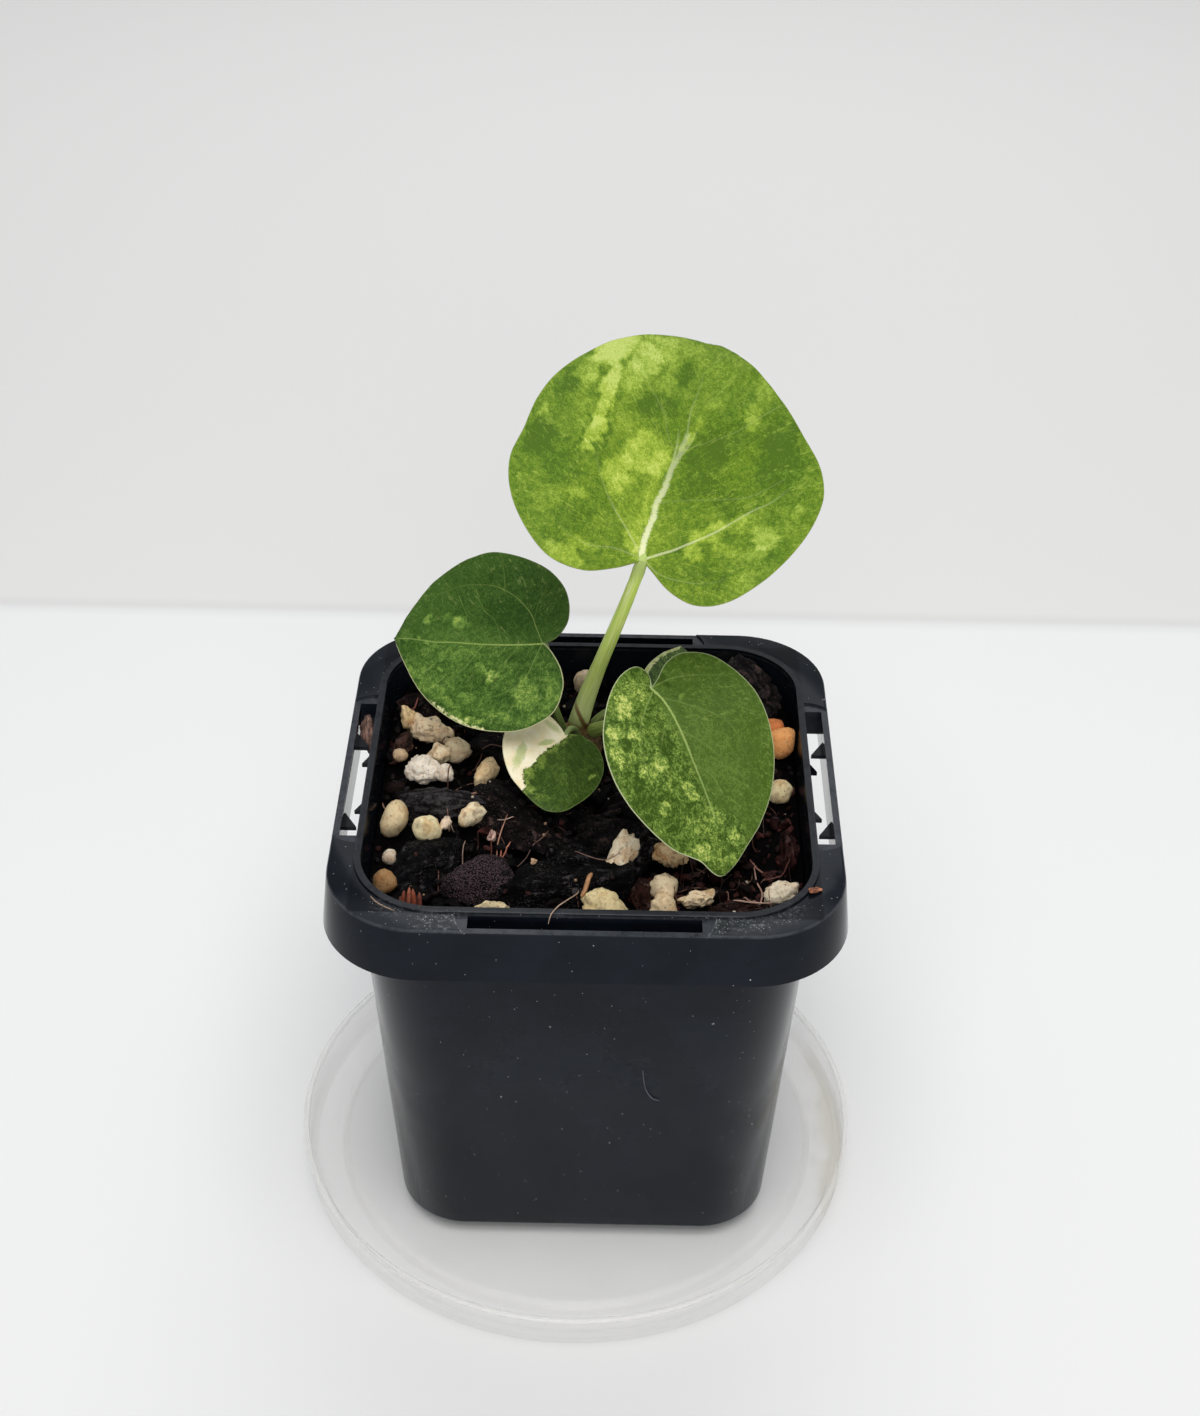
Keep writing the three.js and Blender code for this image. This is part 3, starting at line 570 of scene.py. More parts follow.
def black_plastic():
    f = Finish("pot_plastic")
    where = f.place()
    across, ahead, height = (f.part(where, axis) for axis in range(3))
    on_rim = f.step(height, POT_TOP - 0.8, POT_TOP - 0.1)
    smudge = f.noise(where, 0.09, 4, 0.6)
    grain = f.noise(where, 3.4, 3, 0.6)

    dusty = 0.0
    for x, y, radius in DUST:
        dusty = f.larger(1 - f.step(f.gap(where, (x, y, POT_TOP)), 0.3 * radius, radius), dusty)
    dusty = dusty * on_rim
    specks = 0.0
    for scale, size, share in SPECKS:
        chance = f.part(f.cells(where, scale, output="Color"), 0)
        chance = chance + 0.12 * on_rim * smudge + 0.45 * dusty * scale / SPECKS[-1][0]
        spot = 1 - f.step(f.cells(where, scale), size * 0.6, size)
        specks = f.larger(spot * f.step(chance, share, share + 0.02), specks)
    film = dusty * f.step(f.noise(where, 1.1, 5, 0.75), 0.47, 0.70)
    tone = f.mix(f.step(smudge, 0.3, 0.7), "0e1218", "151a22")
    tone = f.mix(0.42 * film, tone, "9c9ea0")
    tone = f.mix(0.8 * specks, tone, "cfcfcc")
    for x, y, z, radius, code in POT_MARKS:
        off = f.gap(where, (x, y, z)) + 0.5 * (grain - 0.5)
        tone = f.mix(0.8 * (1 - f.step(off, 0.4 * radius, radius)), tone, code)

    # the rim's edges carry a thin painted highlight, and so do the curved ends of the pads beside the slots
    edge_highlight = f.step(height, POT_TOP - 0.55, POT_TOP - 0.40)
    edge_highlight = edge_highlight * (1 - f.step(height, POT_TOP - 0.12, POT_TOP - 0.03))
    edge_highlight = f.larger(edge_highlight, f.step(height, POT_TOP + LIP - 0.14, POT_TOP + LIP - 0.04))
    tone = f.mix(edge_highlight * f.step(f.noise(where, 0.5, 4, 0.7), 0.25, 0.6), tone, "34373d")
    bend = PAD_CURVE * (((POT_Y - NECK_HALF) - ahead) / PAD_LENGTH) ** 2
    pad = abs(abs(across - POT_X) - SLOT_HALF - PAD_REACH + bend)
    pad = (1 - f.step(pad, 0.08, 0.30)) * f.step(POT_Y - NECK_HALF - ahead, 0.0, 0.3) * on_rim
    tone = f.mix(pad * f.step(f.noise(where, 1.4, 4, 0.7), 0.40, 0.60), tone, "6d7075")
    leather = f.cells(where, 3.0)
    rough = 0.13 + 0.16 * on_rim + 0.05 * (smudge - 0.5) + 0.4 * f.larger(0.4 * film, specks)
    normal = f.bump(leather + 0.6 * grain, 0.16, 0.03)

    # the ledges inside the slots are painted dark as painted shade, the rim's lip is painted darker than its
    # front, also painted shade, and the rim's front is a touch paler
    up = f.part(f.add("ShaderNodeNewGeometry", output="Normal"), 2)
    shaded_shelf = f.step(up, 0.7, 0.9) * (1 - f.step(height, POT_TOP - 1.6, POT_TOP - 1.0))
    tone = f.mix(0.8 * shaded_shelf, tone, "05070a")
    front = on_rim * (1 - f.step(ahead, -32.0, -26.0))
    tone = f.mix(0.05 * front, tone, "9c9ea0")
    shaded_lip = on_rim - on_rim * f.step(f.larger(abs(across - POT_X), abs(ahead - POT_Y)), 37.9, 38.5)
    tone = f.mix(0.55 * shaded_lip, tone, "06080b")
    gloss = 0.36 * f.step(height, 6.0, 44.0) - 0.09 * on_rim + 0.10 * front
    gloss = gloss * (1 - 0.85 * shaded_shelf) * (1 - 0.5 * shaded_lip)
    return f.done(Base_Color=tone, Roughness=rough, Normal=normal, IOR=1.30, Specular_IOR_Level=0.15,
                  Coat_Weight=gloss, Coat_IOR=1.30, Coat_Roughness=0.16, Specular_Tint=(0.80, 0.86, 1.0, 1.0))


def pot():
    mesh = pot_mesh()
    mesh.materials.clear()
    mesh.materials.append(black_plastic())
    dress(bpy.data.objects.new("nursery_pot", mesh), "pot", ["pot"], sharp=34)


# The leaves

# For each blade, in millimetres from its stalk, along and across:
# at and turn: where its stalk ends, and its heading, rise and roll
# bend: droop, arch and fold; curl: how much the tip curls down, and from where
# wave: height, number and phase of the margin's waves; bow: how far the midrib bows
# grid: rows and columns of the mesh; left and right: the margin, from the stalk to the tip
# stalk: its path; thickness: at its foot, its middle and its top
# veins: points, half width at start and end, how plain at start and end
# patches: centre, half length and half width, turn, how much lighter (or darker) than the green
# zone: a line with the speckled side on the left of it; fleck: how strong the mottling is on the
# plain side and on the speckled side; cream: a line along which the blade is cream coloured
# base: the green's place among the tones, which run from dark to light; contrast: of the patches
# streaks, brush, grit and hairs: how strong the finer marks are; edges: how plain the pale edge is
LEAVES = {
    "upper": dict(
        at=(9.7, 3.1, 127), turn=(74, 29, 14), bend=(0.003, 0.001, 0), curl=(0.03, 42),
        wave=(0.5, 3, 0.6), bow=-0.6, grid=(150, 50),
        left=[
            (0, 0), (-2.8, 4.1), (-4.8, 9), (-4, 15), (0.6, 20.4), (6, 23.9), (12, 25.5), (18.5, 24.9),
            (25, 24.4), (31, 22.6), (36.4, 19.3), (41, 15), (44.6, 9.4), (46.3, 4), (46.7, -0.6),
        ],
        right=[
            (0, 0), (-1.5, -2), (-3.9, -5.6), (-4.8, -10.2), (-2.6, -15), (3, -19.8), (9.4, -23.2),
            (16, -25.2), (22, -25.5), (27.6, -23.6), (33, -19.7), (38.4, -15.5), (43, -10.8),
            (46.3, -6.2), (47.3, -2.8), (46.7, -0.6),
        ],
        stalk=[(-0.8, 23.6, 78.9), (1.8, 18.6, 94), (6, 10.2, 109), (9.55, 3.3, 126.6)],
        thickness=(3.8, 2.6, 1.9),
        veins=[
            ([(0, 0.2), (2.4, 0.6), (5.4, 0.6), (8, 0.3), (10.3, 0.5), (13.4, 0), (15.6, -0.2),
              (18, -0.3), (20.4, -0.8), (25.4, -1.3)], 0.50, 0.44, 1.0, 0.25),
            ([(25, -1.2), (30, -0.7), (36, -1), (42, -0.8)], 0.16, 0.1, 0.16, 0.0),
            ([(18.4, -0.2), (21.6, -0.1), (24.2, 0.1), (26.2, 0.5)], 0.22, 0.14, 0.34, 0.0),
            ([(18.8, -0.5), (22.4, -1.7), (25.2, -2.3), (27.4, -2.6)], 0.2, 0.14, 0.34, 0.0),
            ([(0.2, -0.1), (3.7, -4.7), (8.6, -10), (14.3, -14.8), (17.2, -17.6), (22, -20.5)],
             0.20, 0.12, 0.6, 0.0),
            ([(10.7, 0.2), (12.5, -3.3), (14.4, -8.6), (17.1, -14.1), (22.2, -18.5)],
             0.10, 0.10, 0.06, 0.07),
            ([(22, -1), (25.5, -5.2), (29.4, -9.1), (33.7, -12.1), (38.1, -15.2)],
             0.10, 0.10, 0.06, 0.07),
            ([(0.1, -0.2), (-1.5, -3), (-1.6, -6.8), (-0.6, -11.1), (2, -15)], 0.12, 0.10, 0.2, 0.0),
            ([(0.4, 0.3), (4.3, 3.8), (7.7, 7), (12, 10), (20, 14)], 0.16, 0.10, 0.26, 0.0),
            ([(0.2, 0.3), (0.5, 5.1), (-0.2, 8.6), (0.6, 12.7), (4, 17)], 0.12, 0.10, 0.18, 0.0),
            ([(20.4, -0.6), (24.3, 1.9), (28.6, 3.7), (34.7, 8.2), (39.1, 10.9)], 0.10, 0.10, 0.06, 0.06),
        ],
        patches=[
            (39.5, 14.6, 4.6, 2.8, -25, 0.50), (29.4, 13.6, 7.4, 1.5, -2, 0.46),
            (21.5, 13.6, 3.2, 1.3, 0, 0.48), (17.8, 13.8, 1.4, 1.4, 0, 0.44), (42, 8, 3.6, 3.6, 0, 0.19),
            (38.5, 9, 4, 2.5, 10, 0.21), (33, 10, 5, 2, 10, 0.15), (44, 4, 2, 4, 0, 0.17),
            (14, 8, 4.4, 2.4, 0, 0.35), (19.6, 4.2, 4.2, 3.6, 10, 0.30), (21.5, 8, 4, 2.4, -20, 0.16),
            (17, 1.8, 3.6, 1.3, -5, 0.19), (8, 1.8, 5, 1, 0, 0.19), (2.5, 2.6, 2.4, 1.2, 45, 0.29),
            (1.2, 0.8, 1.6, 1.2, 0, 0.24), (-3, 12.6, 1.6, 3, 10, 0.31), (-0.6, 10.2, 1.2, 2.4, 0, 0.21),
            (8.4, 14, 1, 2.6, 10, 0.24), (6.4, 17.8, 3, 2, 0, 0.12), (22.6, 23, 1.6, 0.9, 0, 0.31),
            (33.5, 17.8, 3.5, 1.6, -15, 0.24), (26, 16.6, 7, 1.2, 5, 0.13), (3.8, -7.2, 1, 2, -15, 0.33),
            (7.5, -8.6, 3.6, 1.4, -45, 0.35), (11.5, -12.6, 3.4, 1.2, -45, 0.25),
            (6.4, -12.6, 1.2, 3, 0, 0.19), (10.5, -18, 2.6, 2.2, 0, 0.33),
            (12.5, -15.4, 3, 1.4, -40, 0.19), (7, -17, 2, 1.6, 0, 0.21),
            (1.4, -16.6, 3.2, 1.8, -40, 0.19), (16.6, -22.2, 2.4, 1, 0, 0.24),
            (14, -20.4, 3, 1.4, 0, 0.12), (22, -11, 2.6, 1.2, 0, 0.04), (33, -11, 3.4, 1.2, 5, 0.25),
            (39.5, -11.6, 3.4, 1.6, 10, 0.19), (33, -3.6, 2.4, 0.8, -35, 0.16),
            (24.5, -1.8, 2.6, 1, -12, 0.33), (28, -2.6, 2, 0.8, 0, 0.21), (17, 22, 3.4, 2.6, 0, -0.29),
            (13, 17, 5, 3, 0, -0.12), (38, 9.5, 7.5, 7, 0, 0.14), (35, 16.4, 6, 3.4, -20, 0.10),
            (3, 0.2, 5, 3.4, 0, 0.10), (42, -3, 4, 5, 0, 0.07), (29.6, 5.6, 3, 4.6, 0, -0.21),
            (37.4, 2, 3, 1.6, 0, -0.27), (20, -5, 8, 3, -5, -0.19), (27, -7, 5, 3, 0, -0.1),
            (25.5, -17, 6, 4, 0, -0.16), (30, 20, 5, 1.4, -15, -0.19), (4.5, 12.5, 3, 3, 0, -0.1),
            (0.5, -11, 2, 4, 0, -0.13), (15, -10, 2.4, 3, -30, -0.12), (31, -16, 5, 3, -20, -0.1),
            (24, -14, 13, 9, 0, -0.04), (12, 4.4, 8, 3.6, 10, 0.13), (30, 10.4, 7, 3, 0, 0.06),
        ],
        zone=None, cream=None, base=0.35, fleck=(0.68, 0.68), streaks=0.03, brush=0.3, grit=0.24,
        hairs=0.3, contrast=1.08, tones=("4a680c", "5b7b14", "6f8b1e", "86a02c", "9fb53e", "b9c95a"),
        vein="eef0c0", edge="8d9a4c", edges=(0.5, 0.5),
    ),
    "left": dict(
        at=(-6.4, 15.3, 102), turn=(160, -12, -42), bend=(0.004, 0.002, 0), curl=(0.02, 27),
        wave=(0.25, 4, 1.5), bow=0.2, grid=(120, 40),
        left=[
            (0, 0), (-1.6, 1.4), (-3.7, 4.3), (-4.5, 7.6), (-3, 12), (1.6, 14.9), (7, 15.7), (13, 14.9),
            (18.6, 12.5), (24, 8.6), (28, 3.7), (30.4, 0.4), (31.4, -1),
        ],
        right=[
            (0, 0), (-2.4, -1.5), (-3.7, -4.8), (-2.3, -9.6), (1.6, -13.4), (7, -15.6), (12.8, -16.6),
            (17, -15.8), (21, -14.2), (25, -11.3), (28.4, -6.9), (30.6, -2.4), (31.4, -1),
        ],
        stalk=[(-3.2, 21.3, 78.9), (-5.3, 19.8, 86), (-6.3, 17.2, 94), (-6.3, 15.5, 101.6)],
        thickness=(1.6, 1.2, 1.2),
        veins=[
            ([(0, 0), (4, 0.3), (8.2, 0.4), (13.2, 0.3), (18, 0), (22, -0.1), (26.5, -0.7), (30.5, -1)],
             0.13, 0.10, 0.9, 0.35),
            ([(0.4, -0.2), (1.9, -2.6), (3.5, -5.3), (6, -7.6), (8.8, -9.3), (11.4, -10.2), (14.6, -10.5),
              (18.5, -10.4), (24, -8.6)], 0.09, 0.09, 0.45, 0.08),
            ([(0.4, 0.2), (1.4, 2.9), (2.3, 5.4), (3.6, 7), (5.7, 8.5), (10, 10), (16, 9.6)],
             0.10, 0.09, 0.35, 0.05),
            ([(8, 0.3), (10.2, -3.8), (12.4, -5.5), (14, -7.5), (15.1, -9.6)], 0.08, 0.08, 0.1, 0.25),
            ([(14.6, -3), (16.5, -5.5), (17.6, -7), (18.6, -8.6)], 0.08, 0.08, 0.05, 0.28),
            ([(9.4, -10), (9.9, -12.2), (10.4, -13.7), (11, -15)], 0.08, 0.08, 0.2, 0.1),
            ([(2.6, -4), (2.4, -7), (1.6, -9.5), (1.4, -11.5)], 0.08, 0.08, 0.15, 0.1),
            ([(4.6, 0.2), (5.2, 0.9), (6.6, 3), (8.1, 5), (9, 8)], 0.1, 0.1, 0.3, 0.05),
            ([(11.9, 0.4), (13.4, 2.6), (14.9, 4.5), (17, 7)], 0.1, 0.1, 0.25, 0.05),
        ],
        patches=[
            (11, 6, 17, 8, -14, 0.13), (20, -6, 9, 5, -10, 0.04), (9, -7, 12, 7, 0, -0.05),
            (17.6, -3.6, 1.8, 1.1, -20, 0.30), (19.8, -4.4, 1.8, 0.8, -20, 0.22),
            (24.2, -4.2, 1.2, 0.6, -10, 0.38), (26, -0.8, 0.8, 0.35, 0, 0.45),
            (23.9, 0.2, 0.6, 0.3, 0, 0.3), (28.6, -1.6, 1.2, 1, 0, 0.16), (9.8, 6.4, 1.2, 0.9, 30, 0.42),
            (11.3, 4.6, 1.4, 0.7, -40, 0.24), (7.8, 6, 0.8, 0.4, 0, 0.28), (2.4, 9, 2.4, 2.6, 20, 0.24),
            (-2.4, 8, 1.2, 3, 0, 0.18), (0.6, 13, 3, 1, 15, 0.16), (11.5, 14.2, 2.6, 0.6, -8, 0.34),
            (14.5, 13.6, 2.4, 0.6, -12, 0.34), (6.6, 13, 2.4, 1, 0, 0.18), (17, 11, 2.6, 1, -20, 0.24),
            (21, 8.6, 3, 1.2, -25, 0.18), (20.2, 4.6, 0.8, 0.5, 0, 0.3), (25, 5.4, 3, 1.2, -30, 0.16),
            (13.6, 9.4, 2, 1.2, 0, 0.15), (16.5, 2, 4, 0.8, 0, 0.1), (12.6, 7.4, 2, 1.4, -20, -0.12),
            (7, 9.4, 2.4, 1, 0, -0.08), (5, 2.6, 3, 1.2, 0, -0.1), (8, -5, 6, 3, 0, -0.07),
            (3.5, 4.6, 1, 2, 0, -0.08),
        ],
        zone=[(-5, 0.6), (8, 0.6), (20, 0.2), (32, -1.2)],
        cream=[(9, 15.4), (13, 14.5), (17, 12.9), (21, 10.5)], cream_width=0.22, base=0.25,
        fleck=(0.36, 0.72), streaks=0.05, brush=0.2, grit=0.38, hairs=0.15, contrast=1,
        tones=("2c4913", "3d5c1f", "4f702c", "6a8a3a", "92aa4e", "cdd084"), vein="a9bd68", edge="c9c797",
        edges=(0.9, 0.12),
    ),
    "right": dict(
        at=(11.5, -0.1, 104), turn=(-56, -30, 0), bend=(0.007, 0.001, 0.12), curl=(0.02, 28),
        wave=(0.3, 4, 0.4), bow=1.2, grid=(120, 40),
        left=[
            (0, 0), (-1.2, 2), (-3.3, 5), (-3.8, 8.8), (-1.4, 12.7), (4.4, 15.6), (11, 16.4), (17.6, 15),
            (23, 12), (27, 8), (29.6, 4), (31.2, 1.4), (32.1, -1),
        ],
        right=[
            (0, 0), (-2.4, 1), (-4.5, -0.4), (-3.5, -4.6), (0.3, -9.2), (5.9, -12.9), (11.6, -14.4),
            (17, -13.9), (22, -11.6), (25.6, -9), (27.4, -6.6), (28.9, -4.7), (30.8, -3.4), (31.9, -2.2),
            (32.1, -1),
        ],
        stalk=[(2.1, 21.3, 79.4), (5.5, 17.6, 83.4), (10.6, 7.4, 94), (11.45, 0.3, 103.5)],
        thickness=(2.7, 2.1, 1.7),
        veins=[
            ([(0, 0), (2.5, 0.9), (5.1, 1.2), (7.9, 1.2), (10.7, 1.1), (13.4, 0.9), (16, 0.8),
              (19.3, 0.7), (23.5, 0.5)], 0.20, 0.13, 1.0, 0.5),
            ([(0, 0.3), (-0.3, 3.6), (0.2, 6.6), (1.6, 10.4), (3.2, 13.3), (5.5, 15.1)],
             0.14, 0.12, 0.26, 0.05),
            ([(2, 0.7), (4.5, 3.9), (7.4, 7.2), (10.4, 9.4), (13.8, 10), (17.7, 9.6), (22.5, 7.6)],
             0.13, 0.11, 0.2, 0.06),
            ([(8.4, 1.2), (11.2, 3.4), (14.7, 5.4), (18.2, 5.6), (21.2, 4.9)], 0.11, 0.11, 0.13, 0.06),
            ([(14.4, 0.9), (17.1, 2.8), (20.6, 3.4)], 0.1, 0.1, 0.15, 0.1),
            ([(0.6, 0), (3.4, -3.3), (6.2, -5.9), (9, -7.3), (14, -8.4)], 0.14, 0.12, 0.35, 0.05),
            ([(5.9, 1), (7.8, -1.7), (10.1, -3.7), (12.3, -5.3)], 0.1, 0.1, 0.2, 0.05),
            ([(-0.4, 0.1), (-1.4, -2), (-1.6, -5), (0.4, -8.2)], 0.12, 0.1, 0.35, 0.05),
        ],
        patches=[
            (-1.6, -3.4, 2.6, 3, 0, 0.14), (1.6, -6.4, 3.2, 2.4, -30, 0.12), (7, -11, 4, 1.8, -15, 0.10),
            (2.2, -6.8, 2.2, 1.4, -30, 0.38), (6.4, -7.4, 1.4, 1.2, -20, 0.36),
            (5, -10.6, 1.6, 1.8, 0, 0.34), (9.6, -12, 2, 1, -20, 0.34), (-1, -4.5, 1.4, 3, 0, 0.14),
            (12.4, -5, 2, 1.8, -30, 0.29), (13.2, -7.6, 1.4, 1.8, 0, 0.32), (18, -2, 1.7, 1.2, 20, 0.3),
            (19, -8, 1.4, 1.1, 0, 0.34), (27, 2.2, 1.4, 0.9, 0, 0.38), (28, -3.8, 1.4, 0.9, 0, 0.38),
            (25, -0.6, 2, 2, 0, 0.18), (28.6, -1, 2, 2, 0, 0.16), (23, -4.5, 2, 1.4, 0, 0.14),
            (17, -5, 1.6, 1.4, 0, 0.14), (1.5, -3, 1.4, 1.2, 0, 0.14), (30.4, 1, 1, 1.4, 0, 0.29),
            (22, -10, 2.4, 1, 0, 0.11), (9.2, 10.2, 1.2, 0.5, 60, 0.23), (3, 4.4, 0.5, 1.2, 10, 0.29),
            (8, -6, 9, 7, 0, 0.11), (24, -3, 6, 5, 0, 0.09), (13, -9.6, 2, 0.55, -25, -0.57),
            (15, -11, 1, 0.5, -30, -0.29), (7.5, -9.4, 1.6, 0.9, -20, -0.29),
            (10, -2.4, 3.2, 1.4, -10, -0.3), (21, -6.4, 2.6, 2.4, 0, -0.16), (17, -11, 1.6, 2, 0, -0.16),
            (4, -2.4, 2.4, 1.2, -20, -0.14), (-1, 2.2, 3, 1, 30, -0.17), (14, 5, 8, 3, 0, 0.06),
        ],
        zone=[
            (33, 2.4), (30, 3.6), (27.2, 4.6), (24, 3.4), (21.6, 1.2), (16, 0.2), (12, 0), (7.6, 0),
            (2.6, -0.3), (-5, 1),
        ],
        cream=None, base=0.30, fleck=(0.40, 1.2), streaks=0.0, brush=0.15, grit=0.36, hairs=0.15,
        contrast=0.95, tones=("374f12", "48621e", "5a752c", "728d3c", "9db150", "c6cf74"), vein="a3b868",
        edge="c6cda0", edges=(0.6, 0.9),
    ),
    "front": dict(
        at=(-2.8, 12, 85), turn=(-92, -12, -14), bend=(0.005, 0.005, 0), curl=(0, 16), wave=(0.15, 3, 0),
        bow=0, grid=(72, 26),
        left=[
            (0, 0), (-0.7, 1.5), (-0.6, 3.2), (0.6, 5.3), (2.9, 6.9), (5.7, 7.3), (8.9, 6.6), (11.8, 5.1),
            (14.2, 3), (15.6, 1.4), (16.2, 0),
        ],
        right=[
            (0, 0), (-2.2, -1.2), (-4.3, -3.4), (-4.2, -6.5), (-1.6, -9.5), (1.8, -10.6), (4.8, -10.7),
            (8, -10), (10.9, -8.6), (13, -6.6), (14.6, -4.8), (15.8, -3), (16.3, -1.4), (16.2, 0),
        ],
        stalk=[(-0.9, 20, 78.9), (-1.4, 18.4, 82.6), (-2.3, 15.4, 84.3), (-2.8, 12.3, 84.7)],
        thickness=(1.8, 1.3, 0.9),
        veins=[
            ([(0, 0), (2.8, 0.1), (5.5, 0.1), (8.8, 0.2), (12.6, 0.1)], 0.12, 0.1, 0.2, 0.0),
            ([(0.2, 0.1), (1.7, 0.9), (4, 2.1), (6.4, 2.6), (10, 3)], 0.1, 0.1, 0.2, 0.0),
            ([(0.2, -0.3), (1.4, -3), (4, -5.4), (8, -5)], 0.1, 0.1, 0.1, 0.0),
        ],
        patches=[
            (7.4, 5.6, 1, 0.35, 0, 0.5), (9, 0.3, 3, 0.4, 5, 0.08), (14.4, -3, 1, 1.6, 0, 0.2),
            (9.8, -5.6, 1.6, 0.7, 0, 0.35), (12.8, -5.4, 1.2, 0.8, 0, 0.4), (7, -3.8, 1.6, 0.6, -25, 0.3),
            (3.4, -1.6, 1.6, 0.4, -35, 0.3), (4, 2, 4, 2, 0, -0.05),
        ],
        zone=[
            (0.6, 0.1), (1.8, -0.8), (3.2, -2.2), (4.6, -3.5), (6.4, -4.5), (8, -5.2), (8.9, -6.4),
            (10.4, -6.6), (11.6, -6.2), (12.4, -6.1), (14.4, -6.8),
        ],
        cream=None, base=0.30, fleck=(0.22, 0.42), streaks=0.08, brush=0.3, grit=0.36, hairs=0.15,
        contrast=1, tones=("24370a", "344b14", "45601e", "62792f", "8fa54a", "b9c474"), vein="6f8a44",
        edge="8b9c62", edges=(0.4, 0.3),
    ),
    "behind": dict(
        at=(14.4, 15.9, 92), turn=(77, 8, 0), bend=(0.006, 0.006, 0), curl=(0, 14), wave=(0.1, 3, 1),
        bow=0, grid=(44, 14),
        left=[
            (0, 0), (-1.3, 1.5), (-1.2, 3.3), (1.8, 4.6), (6, 4.6), (10.2, 2.8), (13, 0),
        ],
        right=[
            (0, 0), (-1.3, -1.5), (-1.2, -3.3), (1.8, -4.6), (6, -4.6), (10.2, -2.8), (13, 0),
        ],
        stalk=[(2.2, 24.3, 78.9), (4.6, 24.2, 83), (11, 20.4, 86.6), (14.2, 16.3, 91.6)],
        thickness=(1.7, 1.4, 1.2),
        veins=[
            ([(0, 0), (4, 0), (8, 0), (12.6, 0)], 0.12, 0.1, 0.5, 0.1),
        ],
        patches=[
            (5, 2, 3, 1.6, 0, 0.1), (9, 1, 3, 2, 0, 0.1), (6, -2, 3, 2, 0, 0.1),
        ],
        zone=None, cream=[(-1.2, 3.3), (1.8, 4.6), (6, 4.6), (10.2, 2.8), (12, 1)], cream_width=1.0,
        base=0.28, fleck=(1.2, 1.2), streaks=0.1, brush=0.2, grit=0.4, hairs=0.1, contrast=1,
        tones=("2c4510", "3a5618", "4c6a24", "688436", "93a950", "cdd092"), vein="8fa560", edge="e0dcc0",
        edges=(0.9, 0.5),
    ),
}
# half a blade's thickness, its veins' depth above and below, and how much it puckers
LEAF_HALF, TOP_GROOVE, UNDER_RIDGE = 0.24, 0.10, 0.16
PUCKER, QUILT = 0.14, 0.07
# the bands of the mottling that share one tone, from the darkest to the lightest
TONE_BANDS = ((0.0, 0.165), (0.20, 0.33), (0.365, 0.505), (0.54, 0.695), (0.73, 0.90), (0.94, 1.0))


def blade_height(leaf, u, v):
    """The form of the blade above the plane of its stalk end."""
    length = leaf["left"][-1][0]
    droop, arch, fold = leaf["bend"]
    curl, curl_from = leaf["curl"]
    high, waves, phase = leaf["wave"]
    centre = 0.4 * length
    out = np.minimum(np.hypot(u - centre, v) / (0.5 * length), 1.2)
    around = np.arctan2(v, u - centre)
    crease = np.sqrt(v * v + 0.16) - 0.4
    return (-droop * u * u - arch * v * v + fold * crease - curl * np.maximum(0, u - curl_from) ** 2
            + high * out ** 2 * np.sin(waves * around + phase))


def leaf_axes(leaf):
    heading, rise, roll = (math.radians(a) for a in leaf["turn"])
    along = np.array([math.cos(heading) * math.cos(rise), math.sin(heading) * math.cos(rise), math.sin(rise)])
    level = np.array([-math.sin(heading), math.cos(heading), 0])
    across = level * math.cos(roll) + np.cross(along, level) * math.sin(roll)
    return along, across, np.cross(along, across)


def in_leaf(leaf, u, v, lift):
    """Places in the plant's frame for leaf coordinates, with lift along the blade's normal."""
    u, v, lift = np.broadcast_arrays(np.asarray(u, float), np.asarray(v, float), np.asarray(lift, float))
    step = 0.05
    slope_u = (blade_height(leaf, u + step, v) - blade_height(leaf, u - step, v)) / (2 * step)
    slope_v = (blade_height(leaf, u, v + step) - blade_height(leaf, u, v - step)) / (2 * step)
    normal = np.stack([-slope_u, -slope_v, np.ones_like(slope_u)], -1)
    normal /= np.linalg.norm(normal, axis=-1)[..., None]
    local = np.stack([u, v, blade_height(leaf, u, v)], -1) + normal * lift[..., None]
    return np.asarray(leaf["at"], float) + local @ np.array(leaf_axes(leaf))


def beside(u, v, line):
    """The signed distance of each point from a line (left of it is positive), the share of the
    line passed there, and how far the point lies beyond its ends."""
    line = smooth_path(line, 80)
    ahead = np.gradient(line, axis=0)
    ahead /= np.linalg.norm(ahead, axis=1)[:, None]
    offset = np.stack([u, v], -1)[:, None, :] - line[None]
    nearest = np.argmin((offset ** 2).sum(-1), axis=1)
    d, a = offset[np.arange(len(u)), nearest], ahead[nearest]
    side = a[:, 0] * d[:, 1] - a[:, 1] * d[:, 0]
    at_end = (nearest == 0) | (nearest == len(line) - 1)
    return side, nearest / (len(line) - 1), np.where(at_end, np.abs((a * d).sum(1)), 0)


def vein_field(u, v, vein):
    """Each point's signed distance to a vein in half widths, and how plain the vein is there."""
    points, start_width, end_width, start_plain, end_plain = vein
    side, t, beyond = beside(u, v, points)
    width = start_width + (end_width - start_width) * t
    plain = (start_plain + (end_plain - start_plain) * t) * np.clip(1 - beyond / 0.6, 0, 1)
    return (side + np.sign(side) * 0.3 * beyond) / width, plain


